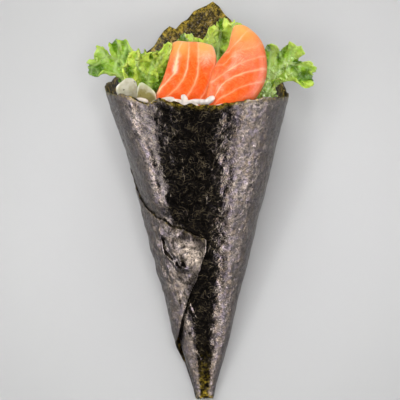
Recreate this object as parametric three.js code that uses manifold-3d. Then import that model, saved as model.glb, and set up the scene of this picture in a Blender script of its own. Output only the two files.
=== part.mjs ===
// Salmon temaki hand roll, lying on its back: one sheet of nori rolled into a cone round rice,
// two slices of raw salmon, curly green lettuce and two pale rib pieces. Millimetres, +Z up.
//
// The pieces are described upright: x to the right, y to the back, z up the cone's axis from the
// point where its sides would meet. The last section tips them onto the cone's back line.
// Turns round the cone are degrees from the front, growing to the left.

import * as THREE from "three";
import { mergeVertices } from "three/addons/utils/BufferGeometryUtils.js";
import Module from "manifold-3d";

// ---------------------------------------------------------------- driving dimensions

const HALF_ANGLE = THREE.MathUtils.degToRad(15.3); // of the cone
const TIP_Z = 7.9; // where the rolled tip is open
const SKIN_OFFSET = 0.5; // of the sheet's middle from the ideal cone, one turn in
const NORI_THICKNESS = 0.5;
const LAYER_PITCH = 0.85; // from one turn of the sheet to the next
const REST_DEPTH = 0.8; // how far the back is pressed flat
const REST_BLEND = 0.15; // what is less than this above the flat is brought down to it
const REST_POINT_Z = 78; // the origin's place on the flat, up the cone
const HOLLOW_DEPTH = 1.3; // of the left side, where it is less full
const HOLLOW_Z = 78;
const HOLLOW_SPAN = 26;

// The sheet's upper edge, as [turn, height]: the outer flap, the rim, then the peak at the back.
const SHEET_TOP = [
  [-2, 61.5], [10, 64], [31, 66.8], [55, 71.2], [78, 76], [130, 98], [185, 133],
  [215, 126], [242, 117], [254, 112.8], [270, 110], [314, 109.6], [350, 107.3], [396, 109.4],
  [421, 110.6], [450, 114.4], [482, 118.6], [513, 127.8], [529, 135.1], [537, 139.4],
  [548, 145.6], [560, 136.5], [571, 129], [602, 117], [638, 104],
];
// The outer flap's free edge, as [height, turn].
const FLAP_EDGE = [
  [7.9, 125], [20, 110], [24, 95], [27, 75], [30, 52], [34.5, 40], [38, 30], [43.4, 18],
  [47.5, 9], [51.6, 2], [57.8, -4.6], [61.5, -5.6],
];
const FLAP_BLEND_TURN = 158; // from here on the columns run straight up the cone
const SHEET_END_TURN = 638;
// The flap stands off the layer below, as [turn, height, turn span, height span, distance]:
// along its free edge low down, and in a buckle below its corner.
const FLAP_LIFTS = [
  [80, 29, 36, 8, 0.9],
  [14, 55.5, 16, 3.4, 0.9],
];

const RICE_BOTTOM_Z = 17;
const RICE_INSET = 1; // of the packed rice from the ideal cone
const RICE_TOP_Z = 104.5;
const RICE_MOUND = 15; // how much higher it is behind the salmon
const RICE_BANK = 4.8; // how much higher it is along the left of the front rim
const GRAIN_LENGTH = 5.6;
const GRAIN_WIDTH = 2.5;
const CLEARANCE = 0.4;

const SALMON_THICKNESS = 6;
const LEAF_THICKNESS = 0.6;

// ---------------------------------------------------------------- small tools

const { degToRad, lerp, smoothstep } = THREE.MathUtils;

const wasm = await Module();
wasm.setup();

// Linear steps through a list of [at, value] pairs.
function keyed(keys, at) {
  const next = keys.findIndex((key) => key[0] >= at);
  if (next <= 0) return next ? keys.at(-1)[1] : keys[0][1];
  const [[from, low], [to, high]] = [keys[next - 1], keys[next]];
  return lerp(low, high, (at - from) / (to - from));
}

// A repeatable random number from 0 to 1.
function randomFrom(seed) {
  let state = seed;
  return () => {
    state = (state * 1664525 + 1013904223) % 4294967296;
    return state / 4294967296;
  };
}

// A closed geometry from points and triangles, with its faces pointing out.
function closedGeometry(points, triangles) {
  let volume = 0;
  for (const [a, b, c] of triangles)
    volume += points[a].dot(new THREE.Vector3().crossVectors(points[b], points[c]));
  const order = volume < 0 ? triangles.map(([a, b, c]) => [a, c, b]) : triangles;
  const geometry = new THREE.BufferGeometry().setFromPoints(points);
  geometry.setIndex(order.flat());
  geometry.computeVertexNormals();
  return geometry;
}

// A thin sheet of even thickness whose middle is place(across, up), both from 0 to 1.
// Its two faces are split into triangles alike.
function sheetGeometry(columns, rows, place, thickness) {
  const middle = [];
  for (let i = 0; i <= columns; i++)
    for (let j = 0; j <= rows; j++) middle.push(place(i / columns, j / rows));
  const at = (i, j) => i * (rows + 1) + j;
  const normalAt = (i, j) => {
    const across = middle[at(Math.min(i + 1, columns), j)]
      .clone()
      .sub(middle[at(Math.max(i - 1, 0), j)]);
    const up = middle[at(i, Math.min(j + 1, rows))].clone().sub(middle[at(i, Math.max(j - 1, 0))]);
    return across.cross(up).normalize();
  };
  const points = [];
  for (const side of [-0.5, 0.5])
    for (let i = 0; i <= columns; i++)
      for (let j = 0; j <= rows; j++)
        points.push(middle[at(i, j)].clone().addScaledVector(normalAt(i, j), side * thickness));
  const other = middle.length;
  const triangles = [];
  for (let i = 0; i < columns; i++)
    for (let j = 0; j < rows; j++) {
      const [a, b, c, d] = [at(i, j), at(i + 1, j), at(i + 1, j + 1), at(i, j + 1)];
      triangles.push([a, c, b], [a, d, c], [a + other, b + other, c + other]);
      triangles.push([a + other, c + other, d + other]);
    }
  const wall = (a, b) => triangles.push([a, b, b + other], [a, b + other, a + other]);
  for (let i = 0; i < columns; i++) {
    wall(at(i, 0), at(i + 1, 0));
    wall(at(i + 1, rows), at(i, rows));
  }
  for (let j = 0; j < rows; j++) {
    wall(at(columns, j), at(columns, j + 1));
    wall(at(0, j + 1), at(0, j));
  }
  return closedGeometry(points, triangles);
}

// A solid through rings of equally many points, closed at both ends.
function loftGeometry(rings) {
  const sides = rings[0].length;
  const points = rings.flat();
  const triangles = [];
  for (let r = 0; r + 1 < rings.length; r++)
    for (let k = 0; k < sides; k++) {
      const [a, b] = [r * sides + k, r * sides + ((k + 1) % sides)];
      triangles.push([a, b, b + sides], [a, b + sides, a + sides]);
    }
  for (const end of [0, rings.length - 1]) {
    const centre = new THREE.Vector3();
    rings[end].forEach((p) => centre.addScaledVector(p, 1 / sides));
    points.push(centre);
    for (let k = 0; k < sides; k++) {
      const [a, b] = [end * sides + k, end * sides + ((k + 1) % sides)];
      triangles.push(end ? [a, b, points.length - 1] : [b, a, points.length - 1]);
    }
  }
  return closedGeometry(points, triangles);
}

function solidOf(geometry) {
  const bare = geometry.clone();
  bare.deleteAttribute("normal");
  bare.deleteAttribute("uv");
  const merged = mergeVertices(bare, 1e-4);
  return new wasm.Manifold(
    new wasm.Mesh({
      numProp: 3,
      vertProperties: new Float32Array(merged.attributes.position.array),
      triVerts: new Uint32Array(merged.index.array),
    }),
  );
}

function geometryOf(solid) {
  const { vertProperties, triVerts } = solid.getMesh();
  const geometry = new THREE.BufferGeometry();
  geometry.setAttribute("position", new THREE.BufferAttribute(vertProperties, 3));
  geometry.setIndex(new THREE.BufferAttribute(triVerts, 1));
  geometry.computeVertexNormals();
  return geometry;
}

// ---------------------------------------------------------------- the cone's skin

// A point of the cone at a turn and a height, off its ideal surface. At the back it is pressed to
// the flat that lies `flatOff` off the pressed cone.
function coneSkin(turn, z, off, flatOff = off) {
  const angle = degToRad(-turn);
  const rise = (z - HOLLOW_Z) / HOLLOW_SPAN;
  const hollow = HOLLOW_DEPTH * Math.exp(-rise * rise) * Math.max(0, -Math.sin(angle)) ** 3;
  const radius = z * Math.tan(HALF_ANGLE) + off - hollow;
  const point = new THREE.Vector3(radius * Math.sin(angle), -radius * Math.cos(angle), z);
  const above = z * Math.sin(HALF_ANGLE) - point.y * Math.cos(HALF_ANGLE);
  const lowest = REST_DEPTH - flatOff;
  const push = Math.max(0, lowest - above);
  point.y -= push * Math.cos(HALF_ANGLE);
  point.z += push * Math.sin(HALF_ANGLE);
  return point;
}

// ---------------------------------------------------------------- nori

// How far the sheet's middle is from the ideal cone: a little nearer with every turn.
const layerOff = (turn) => LAYER_PITCH * (1 - turn / 360) + SKIN_OFFSET;

// The turn of the back line nearest to a turn.
const backTurn = (turn) => 180 + 360 * Math.round((turn - 180) / 360);

// The rolled sheet: the outer flap's columns lean with its free edge, the rest run straight up.
function noriPoint(across, up) {
  const columnTurn = lerp(SHEET_TOP[0][0], SHEET_END_TURN, across);
  const z = lerp(TIP_Z, keyed(SHEET_TOP, columnTurn), up);
  let turn = columnTurn;
  let lift = 0;
  if (columnTurn < FLAP_BLEND_TURN) {
    const share = (columnTurn - SHEET_TOP[0][0]) / (FLAP_BLEND_TURN - SHEET_TOP[0][0]);
    turn = lerp(keyed(FLAP_EDGE, z), FLAP_BLEND_TURN, share);
    for (const [atTurn, atZ, turnSpan, zSpan, distance] of FLAP_LIFTS)
      lift += distance * Math.exp(-(((turn - atTurn) / turnSpan) ** 2) - ((z - atZ) / zSpan) ** 2);
  }
  return coneSkin(turn, z, layerOff(turn) + lift, layerOff(backTurn(turn)));
}

// How high a point is above the plane on which the pressed back lies.
function heightAboveRest(point) {
  const { y, z } = coneSkin(180, REST_POINT_Z, layerOff(180));
  const [sine, cosine] = [Math.sin(HALF_ANGLE), Math.cos(HALF_ANGLE)];
  return (point.z - z) * sine - (point.y - y) * cosine + NORI_THICKNESS / 2;
}

// The sheet, whose lowest points are all brought into the plane that it rests on.
function noriGeometry() {
  const geometry = sheetGeometry(64, 12, noriPoint, NORI_THICKNESS);
  const place = geometry.attributes.position;
  const point = new THREE.Vector3();
  for (let i = 0; i < place.count; i++) {
    const height = heightAboveRest(point.fromBufferAttribute(place, i));
    if (height < REST_BLEND)
      place.setXYZ(
        i, point.x, point.y + height * Math.cos(HALF_ANGLE), point.z - height * Math.sin(HALF_ANGLE),
      );
  }
  return geometry;
}

// ---------------------------------------------------------------- salmon

// A slice through stations of [left x, left z, right x, right z, middle y], bowed so that its sides
// lie further back than its middle. Its thickness runs across the path of its middle.
function sliceGeometry({ stations, bow }) {
  const side = (x) =>
    new THREE.CatmullRomCurve3(stations.map((s) => new THREE.Vector3(s[x], s[4], s[x + 1])));
  const [left, right] = [side(0), side(2)];
  const ringCount = 12;
  const sides = 16;
  const rings = [];
  for (let r = 0; r <= ringCount; r++) {
    const along = r / ringCount;
    const [a, b] = [left.getPoint(along), right.getPoint(along)];
    const forward = left.getTangent(along).add(right.getTangent(along)).setX(0).normalize();
    const across = new THREE.Vector3(0, forward.z, -forward.y);
    const toEnd = Math.min(along, 1 - along) * ringCount;
    const round = toEnd < 1 ? 0.55 + 0.45 * toEnd : 1; // rounded ends
    rings.push(
      Array.from({ length: sides }, (_, k) => {
        const angle = (k / sides) * 2 * Math.PI;
        const corner = (v) => Math.sign(v) * Math.abs(v) ** 0.5;
        const s = corner(Math.cos(angle)) * (0.5 + 0.5 * round);
        const q = corner(Math.sin(angle)) * round;
        const point = a.clone().lerp(b, 0.5 + s / 2);
        point.addScaledVector(across, (q * SALMON_THICKNESS) / 2);
        point.y += bow * s * s;
        return point;
      }),
    );
  }
  return loftGeometry(rings);
}

const SALMON = {
  // The left slice is folded back over its top.
  salmon_left: {
    bow: 1.6,
    stations: [
      [-13, 105.8, 2.5, 105.8, -16], [-14, 109.8, 4, 109.8, -16], [-11.4, 117, 6.2, 117, -15.2],
      [-9.6, 122.8, 6.8, 122.4, -13], [-8.6, 127, 6.2, 125.6, -9.2], [-8, 126.6, 5.4, 125, -4.8],
      [-7.6, 124, 4.6, 122.8, -2.6],
    ],
  },
  // The right slice stands before it, leans to the right and tapers to a round end.
  salmon_right: {
    bow: 3,
    stations: [
      [2, 105.2, 16.6, 105.2, -23], [2.6, 110.4, 21.2, 111.6, -22.8],
      [4.2, 115.8, 23.4, 116.6, -22.2], [6, 120.4, 23.8, 121.8, -21.2], [10.4, 126, 23, 127, -18.6],
      [11.8, 130.6, 21, 131, -15.8], [13, 134.2, 17.4, 134.4, -13.8],
    ],
  },
};

// ---------------------------------------------------------------- lettuce

// A curly leaf: a fan from a short base, whose directions spread from `fan` at the base to
// `spread` at the margin, in degrees from +x towards +z. Lobes are [direction, share, half width].
function leafPoint(leaf, across, up) {
  const inner = lerp(...leaf.fan, across);
  const outer = lerp(...leaf.spread, across);
  const direction = degToRad(lerp(inner, outer, up));
  const lobes = leaf.lobes.reduce(
    (sum, [at, share, half]) => sum + share * Math.exp(-(((outer - at) / half) ** 2)),
    1,
  );
  const base = (0.5 - across) * leaf.baseWidth * (1 - up) * Math.sign(leaf.fan[0] - leaf.fan[1]);
  const middle = degToRad((leaf.fan[0] + leaf.fan[1]) / 2);
  const wave = Math.sin(2 * Math.PI * (leaf.ruffles * across + leaf.phase));
  return new THREE.Vector3(
    leaf.base[0] - base * Math.sin(middle) + up * leaf.reach * lobes * Math.cos(direction),
    leaf.base[1] + leaf.lean * up * up + leaf.ruffleDepth * up ** 1.4 * wave,
    leaf.base[2] + base * Math.cos(middle) + up * leaf.reach * lobes * Math.sin(direction),
  );
}

const leafGeometry = (leaf) =>
  sheetGeometry(leaf.columns, 7, (across, up) => leafPoint(leaf, across, up), LEAF_THICKNESS);

const LETTUCE = {
  // Spreads to the left over the rim.
  lettuce_left: {
    base: [-16.5, 3, 110.4], baseWidth: 7, columns: 32,
    fan: [94, 140], spread: [110, 154], reach: 23.4,
    lobes: [[119, 0.02, 6], [131, -0.1, 3.5], [139, 0.1, 5]],
    lean: 3, ruffles: 3.5, ruffleDepth: 2, phase: 0.1,
  },
  // The frilly clump before it, beside the salmon.
  lettuce_front: {
    base: [-17.5, -9.5, 106.8], baseWidth: 6, columns: 36,
    fan: [88, 122], spread: [74, 127], reach: 20,
    lobes: [[76, -0.12, 5], [88, 0.08, 5], [104, 0.05, 8], [127, -0.12, 6]],
    lean: 1, ruffles: 5, ruffleDepth: 2, phase: 0.35,
  },
  // Lies on the back of the cone behind both slices.
  lettuce_back: {
    base: [6, 20.5, 109], baseWidth: 20, columns: 42,
    fan: [62, 112], spread: [54, 121], reach: 26,
    lobes: [[86, 0.12, 8], [100, -0.14, 3.5], [113, 0.02, 6]],
    lean: 7, ruffles: 6, ruffleDepth: 2.3, phase: 0,
  },
  // Spreads to the right over the rim and droops at its end.
  lettuce_right: {
    base: [22, 2, 110.2], baseWidth: 7, columns: 36,
    fan: [56, 94], spread: [17, 88], reach: 20.6,
    lobes: [[62, 0.1, 6], [51, -0.08, 2.5], [42, 0.06, 4], [20, -0.12, 6], [76, -0.08, 3]],
    lean: 2, ruffles: 4, ruffleDepth: 2, phase: 0.6,
  },
  // A small fold of leaf just inside the right of the rim.
  lettuce_fold: {
    base: [20, -8.5, 106.4], baseWidth: 6, columns: 18,
    fan: [48, 100], spread: [34, 90], reach: 11,
    lobes: [[62, 0.1, 8]],
    lean: 2, ruffles: 2, ruffleDepth: 1, phase: 0.2,
  },
};

// ---------------------------------------------------------------- pale rib pieces

// A thick curved slab with a rounded top, bulging to the front.
function ribGeometry({ foot, width, height, turn, bulge, thickness }) {
  const place = (across, up) => {
    const side = 2 * across - 1;
    const top = height * (1 - 0.55 * side ** 4 - 0.2 * side ** 2);
    const point = new THREE.Vector3((side * width) / 2, bulge * (side * side - 1), up * top);
    return point.applyAxisAngle(new THREE.Vector3(0, 1, 0), degToRad(turn)).add(foot);
  };
  return sheetGeometry(10, 5, place, thickness);
}

const RIBS = {
  rib_side: {
    foot: new THREE.Vector3(-21, -12.6, 106.3),
    width: 6.6, height: 11, turn: -14, bulge: 1.2, thickness: 1.4,
  },
  rib_front: {
    foot: new THREE.Vector3(-17, -18.6, 105.2),
    width: 6, height: 10, turn: 3, bulge: 0.9, thickness: 1.4,
  },
};

// ---------------------------------------------------------------- rice

// How high the packed rice stands: low along the walls, in a mound behind the salmon, and in a
// bank along the left of the front rim.
function riceTop(x, y) {
  const middle = smoothstep(y, -9, -3) * (1 - smoothstep(y, 7, 18));
  const mound = RICE_MOUND * middle * Math.exp(-(((x - 2) / 15) ** 2));
  const outer = y < 0 ? smoothstep(Math.hypot(x, y), 22, 25) : 0;
  const bank = RICE_BANK * outer * smoothstep(x, -12, -9) * (1 - smoothstep(x, 0, 2.5));
  return RICE_TOP_Z + mound + bank;
}

// The packed rice without its loose grains, turned round the axis and fitted to the cone.
function riceCoreGeometry() {
  const wall = (z) => z * Math.tan(HALF_ANGLE) - RICE_INSET;
  const profile = [new THREE.Vector2(0, RICE_BOTTOM_Z)];
  for (const z of [RICE_BOTTOM_Z, 45, 75, RICE_TOP_Z]) profile.push(new THREE.Vector2(wall(z), z));
  for (const share of [0.86, 0.66, 0.44, 0.22, 0])
    profile.push(new THREE.Vector2(wall(RICE_TOP_Z) * share, RICE_TOP_Z));
  const geometry = new THREE.LatheGeometry(profile, 30);
  const place = geometry.attributes.position;
  for (let i = 0; i < place.count; i++) {
    const [radial, z, forward] = [place.getX(i), place.getY(i), place.getZ(i)];
    const point = new THREE.Vector3(radial, -forward, z);
    const radius = Math.hypot(point.x, point.y);
    const onWall = Math.abs(radius - wall(z)) < 1e-3;
    if (onWall) {
      const turn = -THREE.MathUtils.radToDeg(Math.atan2(point.x, -point.y));
      point.copy(coneSkin(turn, z, -RICE_INSET));
    } else if (z > RICE_BOTTOM_Z + 1) {
      point.z = riceTop(point.x, point.y);
    }
    place.setXYZ(i, point.x, point.y, point.z);
  }
  return geometry;
}

// One cooked grain, lying on the packed rice with its long side turned by `heading`.
function grainSolid(x, y, z, heading, pitch, swell) {
  const grain = new THREE.SphereGeometry(0.5, 5, 4);
  grain.scale(GRAIN_LENGTH + swell, GRAIN_WIDTH + swell, GRAIN_WIDTH + swell);
  grain.rotateY(pitch).rotateZ(heading).translate(x, y, z);
  return solidOf(grain);
}

// Grains over the top, closest to the front of the rim first, where they show most.
function riceGeometry(neighbours) {
  const random = randomFrom(7);
  const core = solidOf(riceCoreGeometry());
  const grains = [];
  const tryGrain = (x, y, z, heading, pitch) => {
    const swollen = grainSolid(x, y, z, heading, pitch, 2 * CLEARANCE);
    if (neighbours.every((n) => swollen.intersect(n).volume() < 1e-6))
      grains.push(grainSolid(x, y, z, heading, pitch, 0));
  };
  // A row peeping over the front of the rim.
  for (let turn = 27; turn > -4; turn -= 6) {
    const { x, y } = coneSkin(turn + 2 * random(), 109, -3.8);
    tryGrain(x, y, riceTop(x, y) + 0.9, 0.5 * random() - degToRad(turn), random() - 0.5);
  }
  // The rest, in rings with a little disorder.
  for (let radius = 26; radius > 2; radius -= 4.4) {
    const count = Math.round((2 * Math.PI * radius) / 6.2);
    for (let k = 0; k < count; k++) {
      const angle = ((k + 0.6 * random()) / count) * 2 * Math.PI;
      const reach = radius - 1.2 * random();
      const [x, y] = [reach * Math.cos(angle), reach * Math.sin(angle)];
      if (grains.length < 66)
        tryGrain(x, y, riceTop(x, y) + 0.5, 2 * Math.PI * random(), 0.7 * random() - 0.35);
    }
  }
  const bodies = wasm.Manifold.union([core, ...grains]).decompose();
  return geometryOf(bodies.sort((a, b) => b.volume() - a.volume())[0]);
}

// ---------------------------------------------------------------- the hand roll

const COLOURS = {
  nori: { color: 0x2b2723, roughness: 0.42 },
  rice: { color: 0xefe8dc, roughness: 0.5 },
  salmon: { color: 0xf87a3c, roughness: 0.35 },
  lettuce: { color: 0x8fbf3f, roughness: 0.5 },
  rib: { color: 0xd2d3ae, roughness: 0.4 },
};

function named(name, geometry) {
  const { color, roughness } = COLOURS[name.split("_")[0]];
  const material = new THREE.MeshStandardMaterial({ color, roughness, metalness: 0 });
  const mesh = new THREE.Mesh(geometry, material);
  mesh.name = name;
  return mesh;
}

const upright = new THREE.Group();
upright.add(named("nori", noriGeometry()));
for (const [name, slice] of Object.entries(SALMON)) upright.add(named(name, sliceGeometry(slice)));
for (const [name, leaf] of Object.entries(LETTUCE)) upright.add(named(name, leafGeometry(leaf)));
for (const [name, rib] of Object.entries(RIBS)) upright.add(named(name, ribGeometry(rib)));
upright.add(named("rice", riceGeometry(upright.children.map((mesh) => solidOf(mesh.geometry)))));

// Tipped back until its back line lies on the ground, with the origin on the flat below it.
const handRoll = new THREE.Group();
const back = coneSkin(180, REST_POINT_Z, layerOff(180));
upright.rotation.x = HALF_ANGLE - Math.PI / 2;
back.applyEuler(upright.rotation);
upright.position.set(0, -back.y, NORI_THICKNESS / 2 - back.z);
handRoll.add(upright);

export default handRoll;
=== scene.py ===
"""Salmon temaki hand roll: a crinkled nori cone with rice, salmon and curly lettuce, lying on its back.

Shapes are worked out upright, in millimetres: x to the right, y to the back, z up the cone's axis
from the point where its sides would meet. Turns round the cone are degrees from the front, growing
to the left. lay_down() tips them onto the cone's back line and gives metres.
"""

import math
import random

import bmesh
import bpy
import numpy as np
from bpy.props import FloatProperty, FloatVectorProperty, IntProperty, PointerProperty
from mathutils import Euler, Matrix, Vector, noise


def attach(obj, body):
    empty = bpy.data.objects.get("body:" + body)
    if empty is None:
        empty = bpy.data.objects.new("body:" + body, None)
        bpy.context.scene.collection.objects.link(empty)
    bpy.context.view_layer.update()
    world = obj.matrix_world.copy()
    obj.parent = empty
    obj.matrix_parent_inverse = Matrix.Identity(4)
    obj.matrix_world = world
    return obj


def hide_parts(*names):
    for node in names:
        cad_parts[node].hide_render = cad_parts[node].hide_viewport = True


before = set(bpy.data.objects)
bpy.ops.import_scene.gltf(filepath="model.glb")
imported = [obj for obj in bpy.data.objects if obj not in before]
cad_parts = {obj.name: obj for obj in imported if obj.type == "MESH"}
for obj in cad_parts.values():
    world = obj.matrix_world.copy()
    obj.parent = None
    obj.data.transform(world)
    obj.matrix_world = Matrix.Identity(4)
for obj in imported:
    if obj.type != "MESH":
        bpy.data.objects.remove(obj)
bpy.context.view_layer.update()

bl_info = {
    "name": "Temaki Hand Roll",
    "version": (1, 0, 0),
    "blender": (4, 5, 0),
    "location": "View3D > Sidebar > Temaki",
    "description": "Builds a salmon temaki hand roll and the studio stage it lies on",
    "category": "Add Mesh",
}

MM = 0.001

# ---------------------------------------------------------------- the cone, in millimetres

HALF_ANGLE = math.radians(15.3)
SINE, COSINE = math.sin(HALF_ANGLE), math.cos(HALF_ANGLE)
TIP_Z = 7.9
SKIN_OFFSET = 0.5  # of the sheet's middle from the ideal cone, one turn in
LAYER_PITCH = 0.85  # from one turn of the sheet to the next
SOLID_SHEET = 0.5  # thickness of the sheet in the solids, which sets where the back lies
REST_DEPTH = 0.8  # how far the back is pressed flat
REST_POINT_Z = 78
HOLLOW_DEPTH = 1.3  # of the left side, where it is less full
HOLLOW_Z = 78
HOLLOW_SPAN = 26

# The sheet's upper edge, as (turn, height): the outer flap, the rim, then the peak at the back.
SHEET_TOP = [
    (-2, 61.5), (10, 64), (31, 66.8), (55, 71.2), (78, 76), (130, 98), (185, 133), (215, 126),
    (242, 117), (254, 112.8), (270, 110), (314, 109.6), (350, 107.3), (372, 108.2), (379, 108.8),
    (386, 110.6), (393, 109), (399, 109.8), (406, 111), (413, 112.2), (424, 112.4), (450, 114.4),
    (482, 118.6), (513, 128.2), (519, 131.8), (522, 133.6), (523, 135.4), (526, 136.7), (527.8, 136.4),
    (528.6, 135.2), (530.5, 135.7), (532, 137.1), (536, 138.5), (537, 140.4), (539.5, 141.7),
    (542, 142.4), (544.5, 142.6), (546.6, 143.9), (548.6, 144.9), (550.6, 143.7), (552.6, 142.2),
    (555, 139.9), (560, 136.5), (571, 129), (602, 117), (638, 104),
]
# The outer flap's free edge, as (height, turn).
FLAP_EDGE = [
    (7.9, 125), (20, 110), (24, 95), (27, 75), (30, 52), (34.5, 40), (38, 30), (43.4, 18),
    (47.5, 9), (51.6, 2), (57.8, -4.6), (61.5, -5.6),
]
FLAP_BLEND_TURN = 158  # from here on the columns run straight up the cone
SHEET_END_TURN = 638
# Where the grid's columns lie, as (share, turn): closest together on the front.
NORI_COLUMNS = [(0, -2), (0.27, 100), (0.45, 270), (0.8, 440), (1, SHEET_END_TURN)]
# Where the flap stands off the layer below, as (turn, z, turn span, z span, distance).
FLAP_LIFTS = [(80, 29, 36, 8, 0.9), (2, 57, 15, 5, 1.4)]
# Where shade is painted along a fold on the flap, as (turn, z).
FLAP_SHADE = [(43, 62.4), (42.5, 59), (38, 56.8), (31, 54.8), (22, 53.4)]
# The middle of the rings that dent the flap, and how many millimetres a degree is there.
RINGS_TURN, RINGS_Z, RINGS_DEGREE = 15, 56.5, 0.24
RIM_DEGREE = 0.45  # how many millimetres a degree is along the rim
FRONT_RADIUS = 24  # with which turns on the front are laid flat, at every height

# Creases in the nori, as (points of (turn, z), half width, height, on the flap only).
CREASES = [
    ([(47, 63), (45.6, 58.1), (40.8, 56), (32.2, 53.6), (24.7, 51.8), (14, 52.6)], 0.8, 0.6, True),
    ([(41, 61.5), (36, 58), (28, 55.8)], 1.4, -0.5, True),
    ([(20.9, 59.3), (8, 58), (-3, 56.4)], 1.1, 0.5, True),
    ([(33.4, 49.8), (23.3, 46.7), (16, 42)], 0.7, 0.35, True),
    ([(36, 47), (28, 43.5), (20, 38)], 0.6, 0.3, True),
    ([(46, 52), (40, 46), (37, 40)], 0.9, 0.3, True),
    ([(54, 114), (51, 101), (45, 90), (39, 78)], 7.5, 1.6, False),
    ([(-29, 108), (-31, 99), (-33, 88), (-30, 76), (-33.5, 58), (-40, 46)], 3, 0.45, False),
    ([(30, 76), (31, 68), (33, 60)], 2.5, 0.4, False),
    ([(-20, 85), (-4, 82), (12, 84)], 0.8, 0.2, False),
    ([(42, 109), (39, 101.2), (36.5, 92.7), (33, 82.4), (34, 70.5)], 1.4, -0.22, False),
    ([(20.5, 40.5), (11.4, 37.3), (2, 37)], 0.6, 0.35, False),
    ([(37.8, 31.3), (20.4, 26.1), (6, 22)], 0.6, 0.35, False),
]

# ---------------------------------------------------------------- the filling, in millimetres

RICE_BOTTOM_Z = 17
RICE_INSET = 1
RICE_TOP_Z = 104.5
RICE_MOUND = 15  # how much higher it is behind the salmon
RICE_BANK = 4.8  # how much higher it is along the left of the front rim
BALL_TOP, BALL_TIP = 0.4, 0.9  # how far down the core's ball its top ends and its tip starts
LOOSE_RADIUS = 26.5  # of the outer ring of loose grains
RING_PITCH, GRAIN_PITCH = 2.3, 3.9  # from ring to ring, and from grain to grain

# Grains that show over the front of the rim: (x, y, z, length, width, heading, tilt).
RIM_GRAINS = [
    (-10.6, -24.6, 109.4, 6.2, 2.5, 8, -8), (-7.4, -25.2, 108.8, 5.6, 2.3, -14, 6),
    (-4.2, -25.6, 109.2, 4.8, 2.3, 20, 68), (-1.2, -26.6, 108.7, 5.8, 2.0, 4, -4),
    (1.8, -26.4, 108.6, 5.2, 2.0, -6, 5), (3.8, -26.6, 109.0, 5.0, 2.3, 0, -34),
    (8.6, -26.4, 107.1, 6.0, 1.8, 8, -4), (13.0, -25.4, 106.8, 5.6, 1.9, 20, 0),
    (-18.8, -20.4, 109.6, 5.0, 2.1, -30, 12), (-13.4, -23.4, 108.9, 5.2, 2.2, -20, -10),
]
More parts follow.
